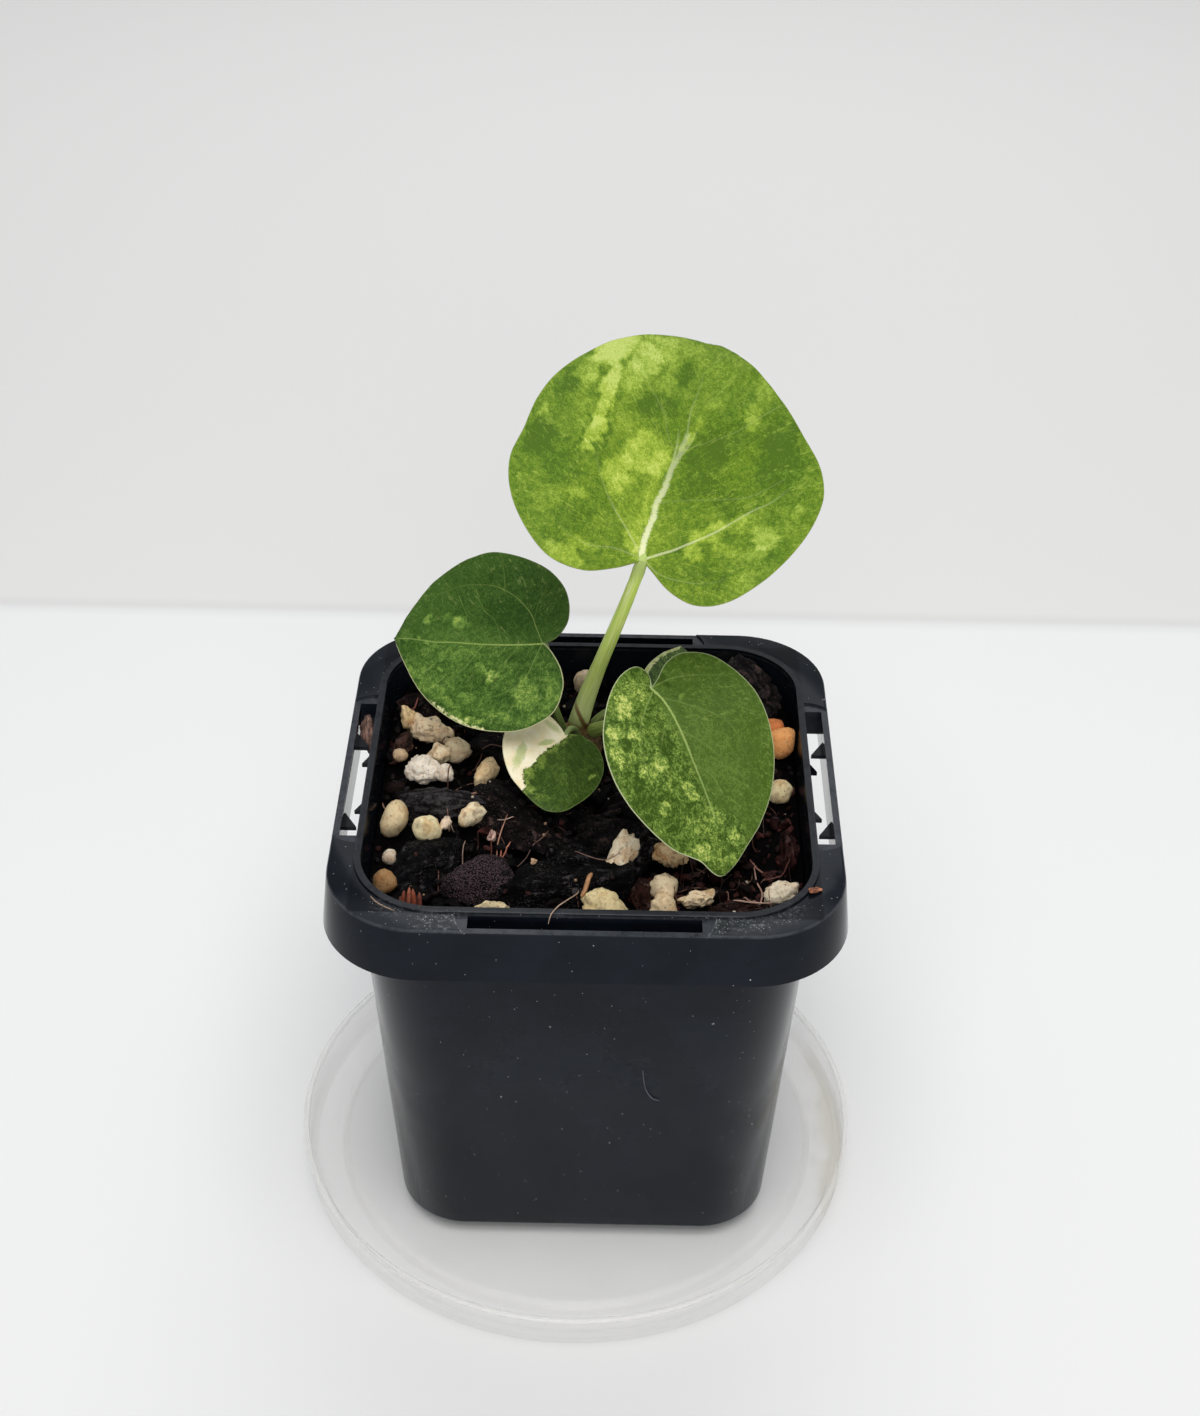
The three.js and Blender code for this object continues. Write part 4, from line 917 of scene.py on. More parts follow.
def patch_field(u, v, patches):
    """How much lighter each point is than the green, with the patches' edges torn by noise."""
    spots = np.stack([u, v, np.zeros(len(u))], -1)
    u = u + 1.0 * rough_noise(spots, 3.4, 4, 21.0) + 0.7 * rough_noise(spots, 1.2, 2, 23.0)
    v = v + 1.0 * rough_noise(spots, 3.4, 4, 27.0) + 0.7 * rough_noise(spots, 1.2, 2, 29.0)
    total = np.zeros(len(u))
    for at_u, at_v, length, width, turn, strength in patches:
        c, s = math.cos(math.radians(turn)), math.sin(math.radians(turn))
        du, dv = u - at_u, v - at_v
        along, across = (du * c + dv * s) / length, (-du * s + dv * c) / width
        near = 0.92 * (along ** 2 + across ** 2)
        total += strength * np.exp(-near ** 5)
        if strength > 0.2:
            total += 0.3 * strength * (np.exp(-near ** 5) - np.exp(-(near / 2.2) ** 3))
    return total


def flow_field(u, v, length):
    """Coordinates that follow the side veins: which one a point lies on, and how far out."""
    start = np.array([-0.05, -0.01, 0.0, 0.02, 0.06, 0.2, 0.6, 1.2]) * length
    lean = np.array([-6.0, -1.2, -0.2, 0.5, 0.9, 1.1, 1.7, 3.0])
    fine = np.linspace(start[0], start[-1], 1500)
    lean_fine = np.interp(fine, start, lean)
    out = np.abs(v)
    which = np.empty(len(u))
    for k, (a, b) in enumerate(zip(u, out)):
        which[k] = np.interp(a, fine + b * lean_fine, fine)
    reach = 0.28 * length
    return which + reach * np.interp(which, start, lean), v


def leaf_plan(leaf):
    """The blade's grid in leaf coordinates: rows from the midrib out to the margin on both sides."""
    rows, columns = leaf["grid"]
    length, tip = leaf["left"][-1]
    s = np.linspace(0, 1, rows + 1)
    mid_u = length * s ** 1.5
    mid_v = tip * (mid_u / length) ** 2 + leaf["bow"] * np.sin(math.pi * mid_u / length)
    plan = [np.stack([mid_u, mid_v], -1)]
    spread = [np.zeros(rows + 1)]
    rim = [np.full(rows + 1, 9.0)]
    faces = []
    count = rows + 1
    for side, turn in ((leaf["left"], 1), (leaf["right"], -1)):
        margin = smooth_path(side, rows + 1)
        t = (np.arange(1, columns + 1) / columns) ** 0.8
        grid = plan[0][1:-1, None, :] * (1 - t[None, :, None]) + margin[1:-1, None, :] * t[None, :, None]
        first = count
        flat = grid.reshape(-1, 2)
        plan.append(flat)
        spread.append(np.tile(t, rows - 1))
        off, _, beyond = beside(flat[:, 0], flat[:, 1], margin)
        rim.append(np.hypot(off, beyond))
        count += (rows - 1) * columns

        def at(i, j):
            return i if j == 0 or i in (0, rows) else first + (i - 1) * columns + j - 1

        for i in range(rows):
            for j in range(columns):
                face = [at(i, j), at(i + 1, j), at(i + 1, j + 1), at(i, j + 1)]
                face = list(dict.fromkeys(face))
                if len(face) > 2:
                    faces.append(tuple(face if turn > 0 else face[::-1]))
    return np.concatenate(plan), np.concatenate(spread), np.concatenate(rim), faces


def leaf(name):
    shape = LEAVES[name]
    plan, spread, rim, faces = leaf_plan(shape)
    u, v = plan[:, 0], plan[:, 1]
    fields = [vein_field(u, v, vein) for vein in shape["veins"]]
    relief = np.zeros(len(u))
    for far, plain in fields:
        relief = np.maximum(relief, (0.3 + 0.7 * plain) * (plain > 0) * np.exp(-(far * 0.4) ** 2))
    spots = np.stack([u, v, np.zeros(len(u))], -1)
    count = len(u)
    flow, out = flow_field(u, v, shape["left"][-1][0])
    quilt = rough_noise(np.stack([flow * 0.8, out * 0.5, np.zeros(count)], -1), 2.6, 2, 3.1)
    pucker = rough_noise(spots, 5.5, 2, 3.1) * PUCKER + quilt * QUILT
    pucker = pucker * np.clip(spread * 3, 0, 1) * (1 - 0.7 * relief)
    half = LEAF_HALF * (1 - 0.72 * spread ** 8)
    top = in_leaf(shape, u, v, half + pucker - TOP_GROOVE * relief)
    under = in_leaf(shape, u, v, -half + pucker - UNDER_RIDGE * relief)
    used = {(a, b) for face in faces for a, b in zip(face, face[1:] + face[:1])}
    edge = [(b, a, a + count, b + count) for a, b in used if (b, a) not in used]
    both = list(faces) + [tuple(i + count for i in face[::-1]) for face in faces] + edge
    finish_of = [0] * len(faces) + [1] * len(faces) + [0] * len(edge)
    light = shape["base"] + shape["contrast"] * patch_field(u, v, shape["patches"])
    zone = beside(u, v, shape["zone"])[0] if shape["zone"] else np.ones(count)
    cream = np.full(count, -9.0)
    if shape["cream"]:
        side, _, beyond = beside(u, v, shape["cream"])
        cream = shape["cream_width"] - np.abs(side) - 0.5 * beyond
    if name == "front":
        cream = -zone
    stored = {"spot": spots, "flow": np.stack([flow, out, np.zeros(count)], -1),
              "tint": np.stack([light, zone, cream], -1), "rim": rim}
    for k, (far, plain) in enumerate(fields):
        stored[f"vein_{k}"] = np.stack([far, plain, np.zeros(count)], -1)
    stored = {k: np.concatenate([x, x]) for k, x in stored.items()}
    slot = "leaf_lime" if name == "upper" else "leaf_green"
    new_piece(f"blade_{name}", np.concatenate([top, under]), both,
              [leaf_top(name, shape), leaf_under(name, shape)], slot, [f"leaf_{name}"], sharp=55,
              material_of=finish_of, **stored)


def leaf_colours(f, name, shape):
    """The pattern that both faces of a blade share: its colour and its veins."""
    spot, flow, tint = f.stored("spot"), f.stored("flow"), f.stored("tint")
    light, zone, cream = (f.part(tint, k) for k in range(3))
    brush, gritty = shape["brush"], shape["grit"]
    broad = f.noise(spot, 0.36, 4, 0.6, 0.8)
    flecks = f.noise(f.moved(spot, (5.0, 43.0, 0.0)), 1.25, 5, 0.68, 0.6)
    flecks = flecks + brush * (f.noise(f.stretched(flow, (1.0, 0.34, 1.0)), 1.0, 5, 0.7, 0.6) - flecks)
    small = f.noise(f.moved(spot, (9.0, 3.0, 0.0)), 2.9, 4, 0.7, 0.4)
    small = small + brush * (f.noise(f.stretched(flow, (2.6, 0.9, 1.0)), 1.0, 4, 0.7, 0.4) - small)
    streak = f.noise(f.stretched(flow, (1.6, 0.3, 1.0)), 1.0, 4, 0.62, 0.5)
    grit = f.noise(spot, 4.2, 3, 0.7)
    plain, speckled = shape["fleck"]
    amount = plain + (speckled - plain) * f.step(zone + 2.4 * (broad - 0.5), -0.5, 0.5)
    ragged = 0.14 * (f.step(broad, 0.40, 0.60) - 0.5) + 0.30 * (f.step(flecks, 0.44, 0.56) - 0.5)
    tone = light + amount * (ragged + 0.21 * (f.step(small, 0.43, 0.57) - 0.5)) + gritty * (grit - 0.5)
    tone = tone + shape["streaks"] * 2.0 * (streak - 0.5)
    stops = []
    for (low, high), code in zip(TONE_BANDS, shape["tones"]):
        stops += [(low, linear(code)), (high, linear(code))]
    colour = f.add("ShaderNodeValToRGB", {"stops": stops}, {"Fac": tone}, "Color")
    colour = f.mix(f.step(grit, 0.34, 0.66), f.times(colour, (0.81, 0.85, 0.73)),
                   f.times(colour, (1.16, 1.12, 1.22)))
    if name == "upper":
        # far out along the upper blade and towards its sides, a painted sheen turns the green greyer and
        # bluer
        painted_sheen = f.step(f.part(spot, 0) + 12 * (broad - 0.5), 24.0, 38.0)
        painted_sheen = f.larger(painted_sheen, f.step(abs(f.part(spot, 1)) + 10 * (broad - 0.5), 11.0, 19.0))
        colour = f.mix(0.6 * painted_sheen, colour, f.times(colour, (0.98, 1.0, 1.6)))
    vein = 0.0
    for k in range(len(shape["veins"])):
        both = f.stored(f"vein_{k}")
        far, strong = abs(f.part(both, 0)), f.part(both, 1)
        torn = far + 3.6 * (small - 0.5) + 3.0 * (flecks - 0.5)
        vein = f.larger((1 - f.step(torn, 0.6, 1.35)) * strong, vein)
    fine_vein = f.noise(f.stretched(flow, (0.9, 0.14, 1.0)), 1.0, 1.5, 0.5, 0.3)
    fine_vein = (1 - f.step(abs(fine_vein - 0.5), 0.004, 0.020)) * f.step(flecks + broad, 0.96, 1.08)
    colour = f.mix(shape["hairs"] * fine_vein, colour, shape["tones"][5])
    colour = f.mix(0.9 * vein, colour, shape["vein"])
    creamy = f.step(cream + 2.0 * (flecks - 0.5) + 0.8 * (broad - 0.5) + 0.8 * (grit - 0.5), 0.0, 0.16)
    if name == "front":
        smudge = f.larger(smudge_at(f, spot, flecks, 6.2, -7.6, 3.2, 1.0, -12),
                          smudge_at(f, spot, flecks, 2.4, -3.2, 1.6, 0.7, -60))
        smudge = f.larger(smudge, 0.8 * smudge_at(f, spot, flecks, -1.6, -2.4, 2.2, 0.7, 50))
        pale = f.mix(f.step(broad, 0.35, 0.65), "f6e6bd", "fff6da")
        pale = f.mix(0.65 * smudge, pale, "9fb45c")
        ring = f.step(cream, -1.3, -0.1)
        colour = f.mix(0.55 * ring * f.step(flecks, 0.44, 0.58), colour, "a3b854")
    else:
        pale = f.mix(f.step(flecks, 0.4, 0.6), "b9c270", "e2e0ac")
    colour = f.mix(creamy, colour, pale)
    side = f.step(f.part(spot, 1), -0.2, 0.2)
    strong, weak = shape["edges"]
    rim = 1 - f.step(f.stored("rim", "Fac") + 0.10 * (grit - 0.5), 0.05, 0.20)
    colour = f.mix(rim * (weak + (strong - weak) * side), colour, shape["edge"])
    net = 1 - f.step(f.cells(spot, 1.15, "DISTANCE_TO_EDGE"), 0.0, 0.09)
    return colour, vein, grit, streak, net


def smudge_at(f, spot, wobble, along, across, length, width, turn):
    """A soft oval of colour on a blade."""
    c, s = math.cos(math.radians(turn)), math.sin(math.radians(turn))
    u, v = f.part(spot, 0) - along, f.part(spot, 1) - across
    far = (c / length * u + s / length * v) ** 2 + (c / width * v - s / width * u) ** 2
    return 1 - f.step(far + 3.2 * (wobble - 0.5), 0.2, 1.3)


def leaf_top(name, shape):
    f = Finish(f"leaf_{name}_top")
    colour, vein, grit, streak, net = leaf_colours(f, name, shape)
    normal = f.bump(0.6 * grit + 0.35 * streak - 0.35 * net - 0.5 * vein, 0.4, 0.10)
    return f.done(Base_Color=colour, Roughness=0.42 + 0.14 * grit, Normal=normal, IOR=1.42,
                  Specular_IOR_Level=0.18)


def leaf_under(name, shape):
    f = Finish(f"leaf_{name}_under")
    colour, vein, grit, _, net = leaf_colours(f, name, shape)
    colour = f.mix(0.45, colour, "92a66a")
    colour = f.mix(0.5 * vein, colour, "b7c690")
    normal = f.bump(0.4 * grit + 0.5 * net + 0.8 * vein, 0.4, 0.15)
    return f.done(Base_Color=colour, Roughness=0.6 + 0.1 * grit, Normal=normal, IOR=1.38,
                  Specular_IOR_Level=0.25)


# The stalks

STALK_TONES = {
    "upper": ("c8e464", "dff288", "f6fcc0"),
    "left": ("6f8844", "8fa560", "b4c08c"),
    "right": ("7c9440", "9ab05a", "bccb84"),
    "front": ("7b9450", "98a96c", "bcc394"),
    "behind": ("7f9650", "a0ad70", "c4c99c"),
}


def stalk_green(name):
    """The upper stalk alone has a pale and partly brown foot, its paleness partly painted light, and a
    greener top.
    """
    f = Finish(f"stalk_{name}")
    where, spot = f.place(), f.stored("round")
    streak = f.noise(f.stretched(spot, (2.6, 2.6, 0.07)), 1.0, 4, 0.6)
    thin = f.noise(f.stretched(spot, (7.0, 7.0, 0.10)), 1.0, 3, 0.6)
    fine = f.noise(where, 1.6, 3, 0.6)
    deep, mid, pale = STALK_TONES[name]
    tone = f.mix(f.step(streak, 0.36, 0.64), deep, mid)
    tone = f.mix(0.8 * f.step(thin, 0.52, 0.66), tone, pale)
    if name == "upper":
        height = f.part(where, 2)
        # the foot is paler, partly its own colour and partly painted light where the blade's shade falls on
        # it
        tone = f.mix(0.45 * (1 - f.step(height, 80.0, 102.0)), tone, "f0efc8")
        tone = f.mix(f.step(height, 121.0, 126.0), tone, "b5c873")
        line = f.part(where, 0) - 0.8 + 0.31 * (height - 79.3) + 0.5 * (fine - 0.5)
        line = (1 - f.step(abs(line), 0.2, 0.6)) * (1 - f.step(height, 84.0, 87.5))
        base = 1 - f.step(height + 1.6 * (fine - 0.5), 79.6, 81.2)
        tone = f.mix(0.85 * line, tone, "7a3f22")
        tone = f.mix(0.75 * base, tone, "8e5f38")
    normal = f.bump(thin, 0.35, 0.10)
    return f.done(Base_Color=tone, Roughness=0.42 + 0.12 * fine, Normal=normal, IOR=1.42,
                  Specular_IOR_Level=0.3)


def stalk(name):
    shape = LEAVES[name]
    path = bezier(*shape["stalk"], 44)
    foot, middle, top = shape["thickness"]
    t = np.linspace(0, 1, len(path))
    radii = np.interp(t, (0, 0.4, 1), (foot, middle, top)) / 2
    radii *= 1 + 0.10 * np.exp(-((t - 0.955) / 0.03) ** 2)
    # the stalk runs on as the midrib's ridge under the blade
    length, tip = shape["left"][-1]
    u = np.linspace(0.035, 0.72, 22) * length
    v = tip * (u / length) ** 2 + shape["bow"] * np.sin(math.pi * u / length)
    ridge = np.linspace(top / 2 * 0.85, 0.12, len(u))
    under = in_leaf(shape, u, v, -0.08 - 0.85 * ridge)
    points, faces, spots = tube(np.concatenate([path, under]), np.concatenate([radii, ridge]), 20)
    new_piece(f"stalk_{name}", points, faces, [stalk_green(name)], "stalk", [f"petiole_{name}"],
              sharp=60, round=spots)


# The stem

def crown_bark():
    f = Finish("crown_bark")
    where = f.place()
    rings = f.noise(f.stretched(where, (0.3, 0.3, 2.2)), 1.0, 4, 0.6)
    fine = f.noise(where, 1.4, 4, 0.65)
    tone = f.mix(f.step(rings, 0.4, 0.6), "4c341f", "7c6136")
    tone = f.mix(0.6 * f.step(fine, 0.5, 0.7), tone, "8a7f45")
    normal = f.bump(rings + 0.5 * fine, 0.6, 0.3)
    return f.done(Base_Color=tone, Roughness=0.7 + 0.1 * fine, Normal=normal)


# the stem's radius at each height, with a ring where each old leaf was
STEM_PROFILE = (
    (0, 46.3), (1.4, 46.3), (2.2, 54), (3.4, 62), (4.1, 69), (4.1, 73), (3.7, 73.5), (3.95, 73.8),
    (4.2, 74.4), (4.25, 75.4), (4.1, 76), (3.7, 76.4), (3.9, 76.8), (4.05, 77.2), (3.9, 77.9),
    (3.3, 78.5), (2, 78.8), (0, 78.85),
)


def stem():
    dense = [STEM_PROFILE[0]]
    for (r0, z0), (r1, z1) in zip(STEM_PROFILE, STEM_PROFILE[1:]):
        steps = max(1, int(abs(z1 - z0) / 1.5))
        dense += [(r0 + (r1 - r0) * k / steps, z0 + (z1 - z0) * k / steps) for k in range(1, steps + 1)]
    points, faces = turned(dense, 40)
    points = np.array(points)
    push = 1 + 0.05 * rough_noise(points, 2.2, 3, 8.0)
    points[:, :2] *= push[:, None]
    points += (STEM_X, STEM_Y, 0)
    new_piece("stem_crown", points, faces, [crown_bark()], "stem", ["stem"], sharp=70)


# The mix

POT_SHIFT = np.array([POT_X, POT_Y, 0])
# a chunk whose place is left of this lies over the rim
OVER_THE_RIM = -38


def lcg(seed):
    """The same draws each run."""
    state = seed
    while True:
        state = (state * 1664525 + 1013904223) % 4294967296
        yield state / 4294967296


DRAWS = lcg(SEED)


def draw(low=0.0, high=1.0):
    return low + (high - low) * next(DRAWS)


def ball(level):
    work = bmesh.new()
    bmesh.ops.create_icosphere(work, subdivisions=level, radius=1)
    points = np.array([v.co[:] for v in work.verts])
    faces = [tuple(v.index for v in face.verts) for face in work.faces]
    work.free()
    return points, faces


BALLS = {level: ball(level) for level in (1, 2, 3, 4)}


def angular(directions, planes, shallow, crisp):
    """Distances out to a random block with softened edges, in each direction."""
    normals = np.array([[draw(-1, 1), draw(-1, 1), draw(-1, 1)] for _ in range(planes)])
    normals /= np.linalg.norm(normals, axis=1)[:, None]
    depth = np.array([draw(shallow, 1.0) for _ in range(planes)])
    square = np.array([[1, 0, 0], [-1, 0, 0], [0, 1, 0], [0, -1, 0], [0, 0, 1], [0, 0, -1]])
    normals = np.concatenate([normals, square])
    depth = np.concatenate([depth, np.ones(6)])
    inverse = np.maximum(directions @ normals.T / depth, 0)
    return 1 / (inverse ** crisp).sum(1) ** (1 / crisp)


def knobs(points, scale, seed):
    """Rounded bumps packed side by side, 1 on top and falling to the creases between them."""
    shift = Vector((seed, seed * 0.6, -seed))
    return np.array([1 - noise.voronoi(Vector(p) / scale + shift)[0][0] ** 2 for p in points])


# for each kind of broken block: its planes, how shallow they may lie, how crisp its edges are, and
# its size
BLOCKS = {"bark": (10, 0.45, 20, 1.12), "small": (10, 0.45, 20, 1.12),
          "charcoal": (12, 0.48, 22, 1.14), "cinder": (12, 0.7, 10, 1.12)}


def outline(kind, directions, seed):
    """How far out a chunk's surface is in each direction, near 1."""
    if kind in BLOCKS:
        planes, shallow, crisp, size = BLOCKS[kind]
        block = angular(directions, planes, shallow, crisp) * size
        return block + 0.05 * rough_noise(directions, 0.5, 2, seed) if kind == "charcoal" else block
    if kind == "perlite":
        return 0.62 + 0.22 * rough_noise(directions, 1.0, 1, seed) + 0.42 * knobs(directions, 0.62, seed)
    if kind == "pumice":
        return (0.80 + 0.34 * rough_noise(directions, 0.8, 2, seed) + 0.2 * knobs(directions, 0.9, seed)) * (
            0.5 + 0.5 * angular(directions, 9, 0.6, 8))
    return 0.5 * (1 + 0.30 * rough_noise(directions, 0.9, 2, seed)) + 0.5 * angular(directions, 8, 0.72, 7)


# the size of a chunk's fine bumps and how far apart they are
BUMPS = {"bark": (0.9, 1.5), "small": (0.5, 0.9), "charcoal": (0.85, 1.6), "cinder": (0.5, 0.7),
         "perlite": (0.30, 0.5), "pumice": (0.36, 0.6), "stone": (0.16, 0.5)}


def chunk(kind, shape, level, tilt=None):
    """The points and faces of one chunk, the points in its own grain, and how far each one stands
    proud. shape: place from the pot's centre, length, width, height, turn in degrees and the
    middle's height above the mix."""
    x, y, length, width, height, turn, lift = shape
    directions, faces = BALLS[level]
    seed = draw(0, 50)
    points = directions * outline(kind, directions, seed)[:, None] * np.array([length, width, height]) / 2
    grain = np.array([0.22, 1.0, 1.0]) if kind in ("bark", "charcoal", "small") else np.ones(3)
    rough, scale = BUMPS[kind]
    bumps = rough_noise(points * grain, scale, 4, seed)
    if kind in ("bark", "charcoal"):
        bumps = 1.2 * (0.5 - np.abs(bumps)) + 0.5 * rough_noise(points, 0.9, 3, seed + 3)
    points = points + directions * (rough * bumps)[:, None]
    lean = tilt if tilt is not None else (draw(-14, 14), draw(-12, 12))
    spin = (Matrix.Rotation(math.radians(turn), 3, "Z") @ Matrix.Rotation(math.radians(lean[0]), 3, "X")
            @ Matrix.Rotation(math.radians(lean[1]), 3, "Y"))
    grained = points.copy()
    points = points @ np.array(spin).T + (x, y, MIX_TOP + lift)
    return points, faces, grained, bumps


def inside_pot(points):
    """Presses points that would pass through the pot's wall back inside it."""
    points = points.copy()
    for k, (x, y, z) in enumerate(points):
        half, corner, _ = body_level(z, POT_WALL + CHUNK_GAP)
        cx, cy = min(abs(x), half), min(abs(y), half)
        over = np.array([cx - (half - corner), cy - (half - corner)])
        if (over > 0).all() and np.hypot(*over) > corner:
            over *= corner / np.hypot(*over)
            cx, cy = half - corner + over[0], half - corner + over[1]
        points[k, :2] = (math.copysign(cx, x), math.copysign(cy, y))
    return points


# kind, place from the pot's centre, length, width, height, turn, height of the middle, tone
CHUNKS = [
    ("bark", -11.2, -8.4, 20, 11, 6.4, 128, -0.4, "1a1214"),
    ("charcoal", -3.4, -25.6, 20, 10, 5.6, 4, -0.4, "0b0b0e"),
    ("cinder", -17.6, -24.6, 12.6, 9.6, 6, -6, 0.9, "5a494f"),
    ("charcoal", -26.6, -19.6, 17, 11, 5.6, 42, -0.2, "0d0e11"),
    ("charcoal", -25.1, -3.6, 13.4, 5.8, 3.6, -5, 1.0, "474345"),
    ("bark", 4.6, -10.4, 14, 9, 5.4, 14, -0.6, "0e0b0e"),
    ("charcoal", -0.6, -17.2, 14, 8, 5, -12, -0.6, "0a0a0d"),
    ("bark", 30, 30.4, 12, 6.4, 7, -48, 1.2, "3a3234"),
    ("bark", 30.4, 20.6, 9, 6.4, 4.4, -10, 0.4, "180f12"),
    ("bark", -9.6, 24, 12, 8, 4.6, 60, -0.2, "1a1210"),
    ("bark", 14.6, 28.6, 13, 8, 5, 20, 0.2, "1e1412"),
    ("bark", -30.6, 27, 10, 7, 4.4, 60, 0, "241816"),
    ("bark", 23.6, -11, 12, 8, 4.6, 70, -0.4, "221214"),
    ("bark", -14.6, 13.6, 11, 8, 4.2, -30, -0.6, "120d0e"),
    ("bark", 9.2, -26.8, 8.8, 3, 4.6, 84, 0.6, "3c211a"),
    ("bark", 26.6, -29.6, 12, 4, 3.4, 6, -0.2, "2e1815"),
    ("charcoal", 8.6, -16.8, 13.6, 4.4, 6, 74, 0.2, "09090b"),
    ("bark", 34, -14.6, 7, 3.2, 4.4, 100, 0.2, "3c1e1c"),
    ("bark", 27, 4, 12, 7, 4.6, 30, -0.4, "1c1012"),
    ("bark", -33, 12, 5, 3.2, 3.8, 70, 0.6, "5a3e34"),
    ("small", -39.7, 13.6, 5.6, 2.4, 4.6, 96, 2.4, "9a7a6e"),
    ("small", -20.6, -2.8, 2.2, 1.0, 0.8, 20, 2.0, "b08272"),
    ("small", -16.4, -14.0, 2.0, 1.4, 1.4, 60, 1.9, "c8a79a"),
]
STONES = [
    ("pumice", -32.9, 20, 4.8, 3.4, 5, 110, 1.4, "f2dcb0"),
    ("pumice", -29.6, 17.4, 8.2, 4.8, 5.0, -22, 0.9, "f6e8cc"),
    ("pumice", -25.8, 15.4, 4.2, 2.6, 4.2, -35, 0.9, "efe2c8"),
    ("stone", -23.5, 11.7, 5, 3.6, 4.6, 18, 0.9, "dfd6bd"),
    ("perlite", -29.4, 5.4, 6.8, 5.8, 5, -20, 1.2, "f6f4ee"),
    ("perlite", -25.4, 4.2, 3.6, 3.2, 3.6, 0, 1.4, "f4f1ea"),
    ("pumice", -26.7, 9, 4, 2.8, 4.2, -30, 1.7, "f0e6cc"),
    ("stone", -18.3, 4.6, 6.8, 3.2, 4, 62, 1.2, "ecd9b2"),
    ("stone", -33.2, -8.6, 5.6, 5, 6, 80, 1, "dccfae"),
    ("stone", -27.4, -11.2, 5.2, 4.4, 4.4, -6, 1.4, "ebe6c2"),
    ("pumice", -19.7, -7, 5.6, 4, 5.4, 60, 1.3, "f3ecd2"),
    ("stone", -33.4, -25, 4.4, 4.2, 4.2, 0, 0.9, "a3845f"),
    ("stone", -33.2, -19, 2.6, 2.2, 3.2, 0, 1.2, "d6d2ca"),
    ("pumice", -15.2, -32.7, 6.2, 3.6, 4.8, 0, 1.9, "ddd5b6"),
    ("perlite", 3, -30, 8, 6, 5.6, -10, 0.6, "efe4b8"),
    ("stone", -1.6, 33, 4, 3.6, 4.6, 0, 1.2, "ecdfca"),
    ("stone", 3.6, 21.6, 4.4, 3.2, 3.6, 30, 0.8, "ecd9c4"),
    ("stone", 24.6, 34, 4.4, 3.4, 6.6, 0, 1, "e8dabb"),
    ("stone", 34, 14.2, 5.6, 5.2, 5.6, -30, 1.8, "f8b678"),
    ("stone", 33.0, 16.9, 3.8, 3.0, 4.4, 10, 2.5, "dc8c58"),
    ("stone", 33.4, 1.4, 4.4, 4, 4.4, 0, 1, "e8dfba"),
    ("pumice", 14.1, -16, 6.6, 5, 4.4, -20, 0.8, "f2dcb4"),
    ("pumice", 5.8, -18.2, 9.4, 4.6, 4.6, 66, 1.7, "f6efdc"),
    ("perlite", 12.8, -25.6, 5.4, 5, 4.8, 0, 1.4, "f4e8cb"),
    ("perlite", 12.6, -30, 5, 4.6, 4.8, 0, 0.8, "f2e3c2"),
    ("pumice", 18.4, -28, 6.6, 3, 3.2, 12, 1.2, "eee2c6"),
    ("perlite", 32, -26.6, 6.8, 4, 4.4, 22, 1.3, "e8e4d4"),
    ("perlite", -24.2, -10.4, 2.6, 1.8, 2, 70, 1.8, "ecdccc"),
    ("stone", -33.6, 9.2, 2.6, 2.4, 2.6, 0, 1.4, "c4b196"),
    ("perlite", -8.8, -21.4, 1.2, 0.8, 0.9, 20, 3.0, "d2b49a"),
]
# chips that lie on the rim: place, length, width, height, turn, height of the middle, tone
RIM_CHIPS = [
    (38.9, -24.5, 2.4, 1.3, 0.9, 28, 82.3, "b87a60"),
]
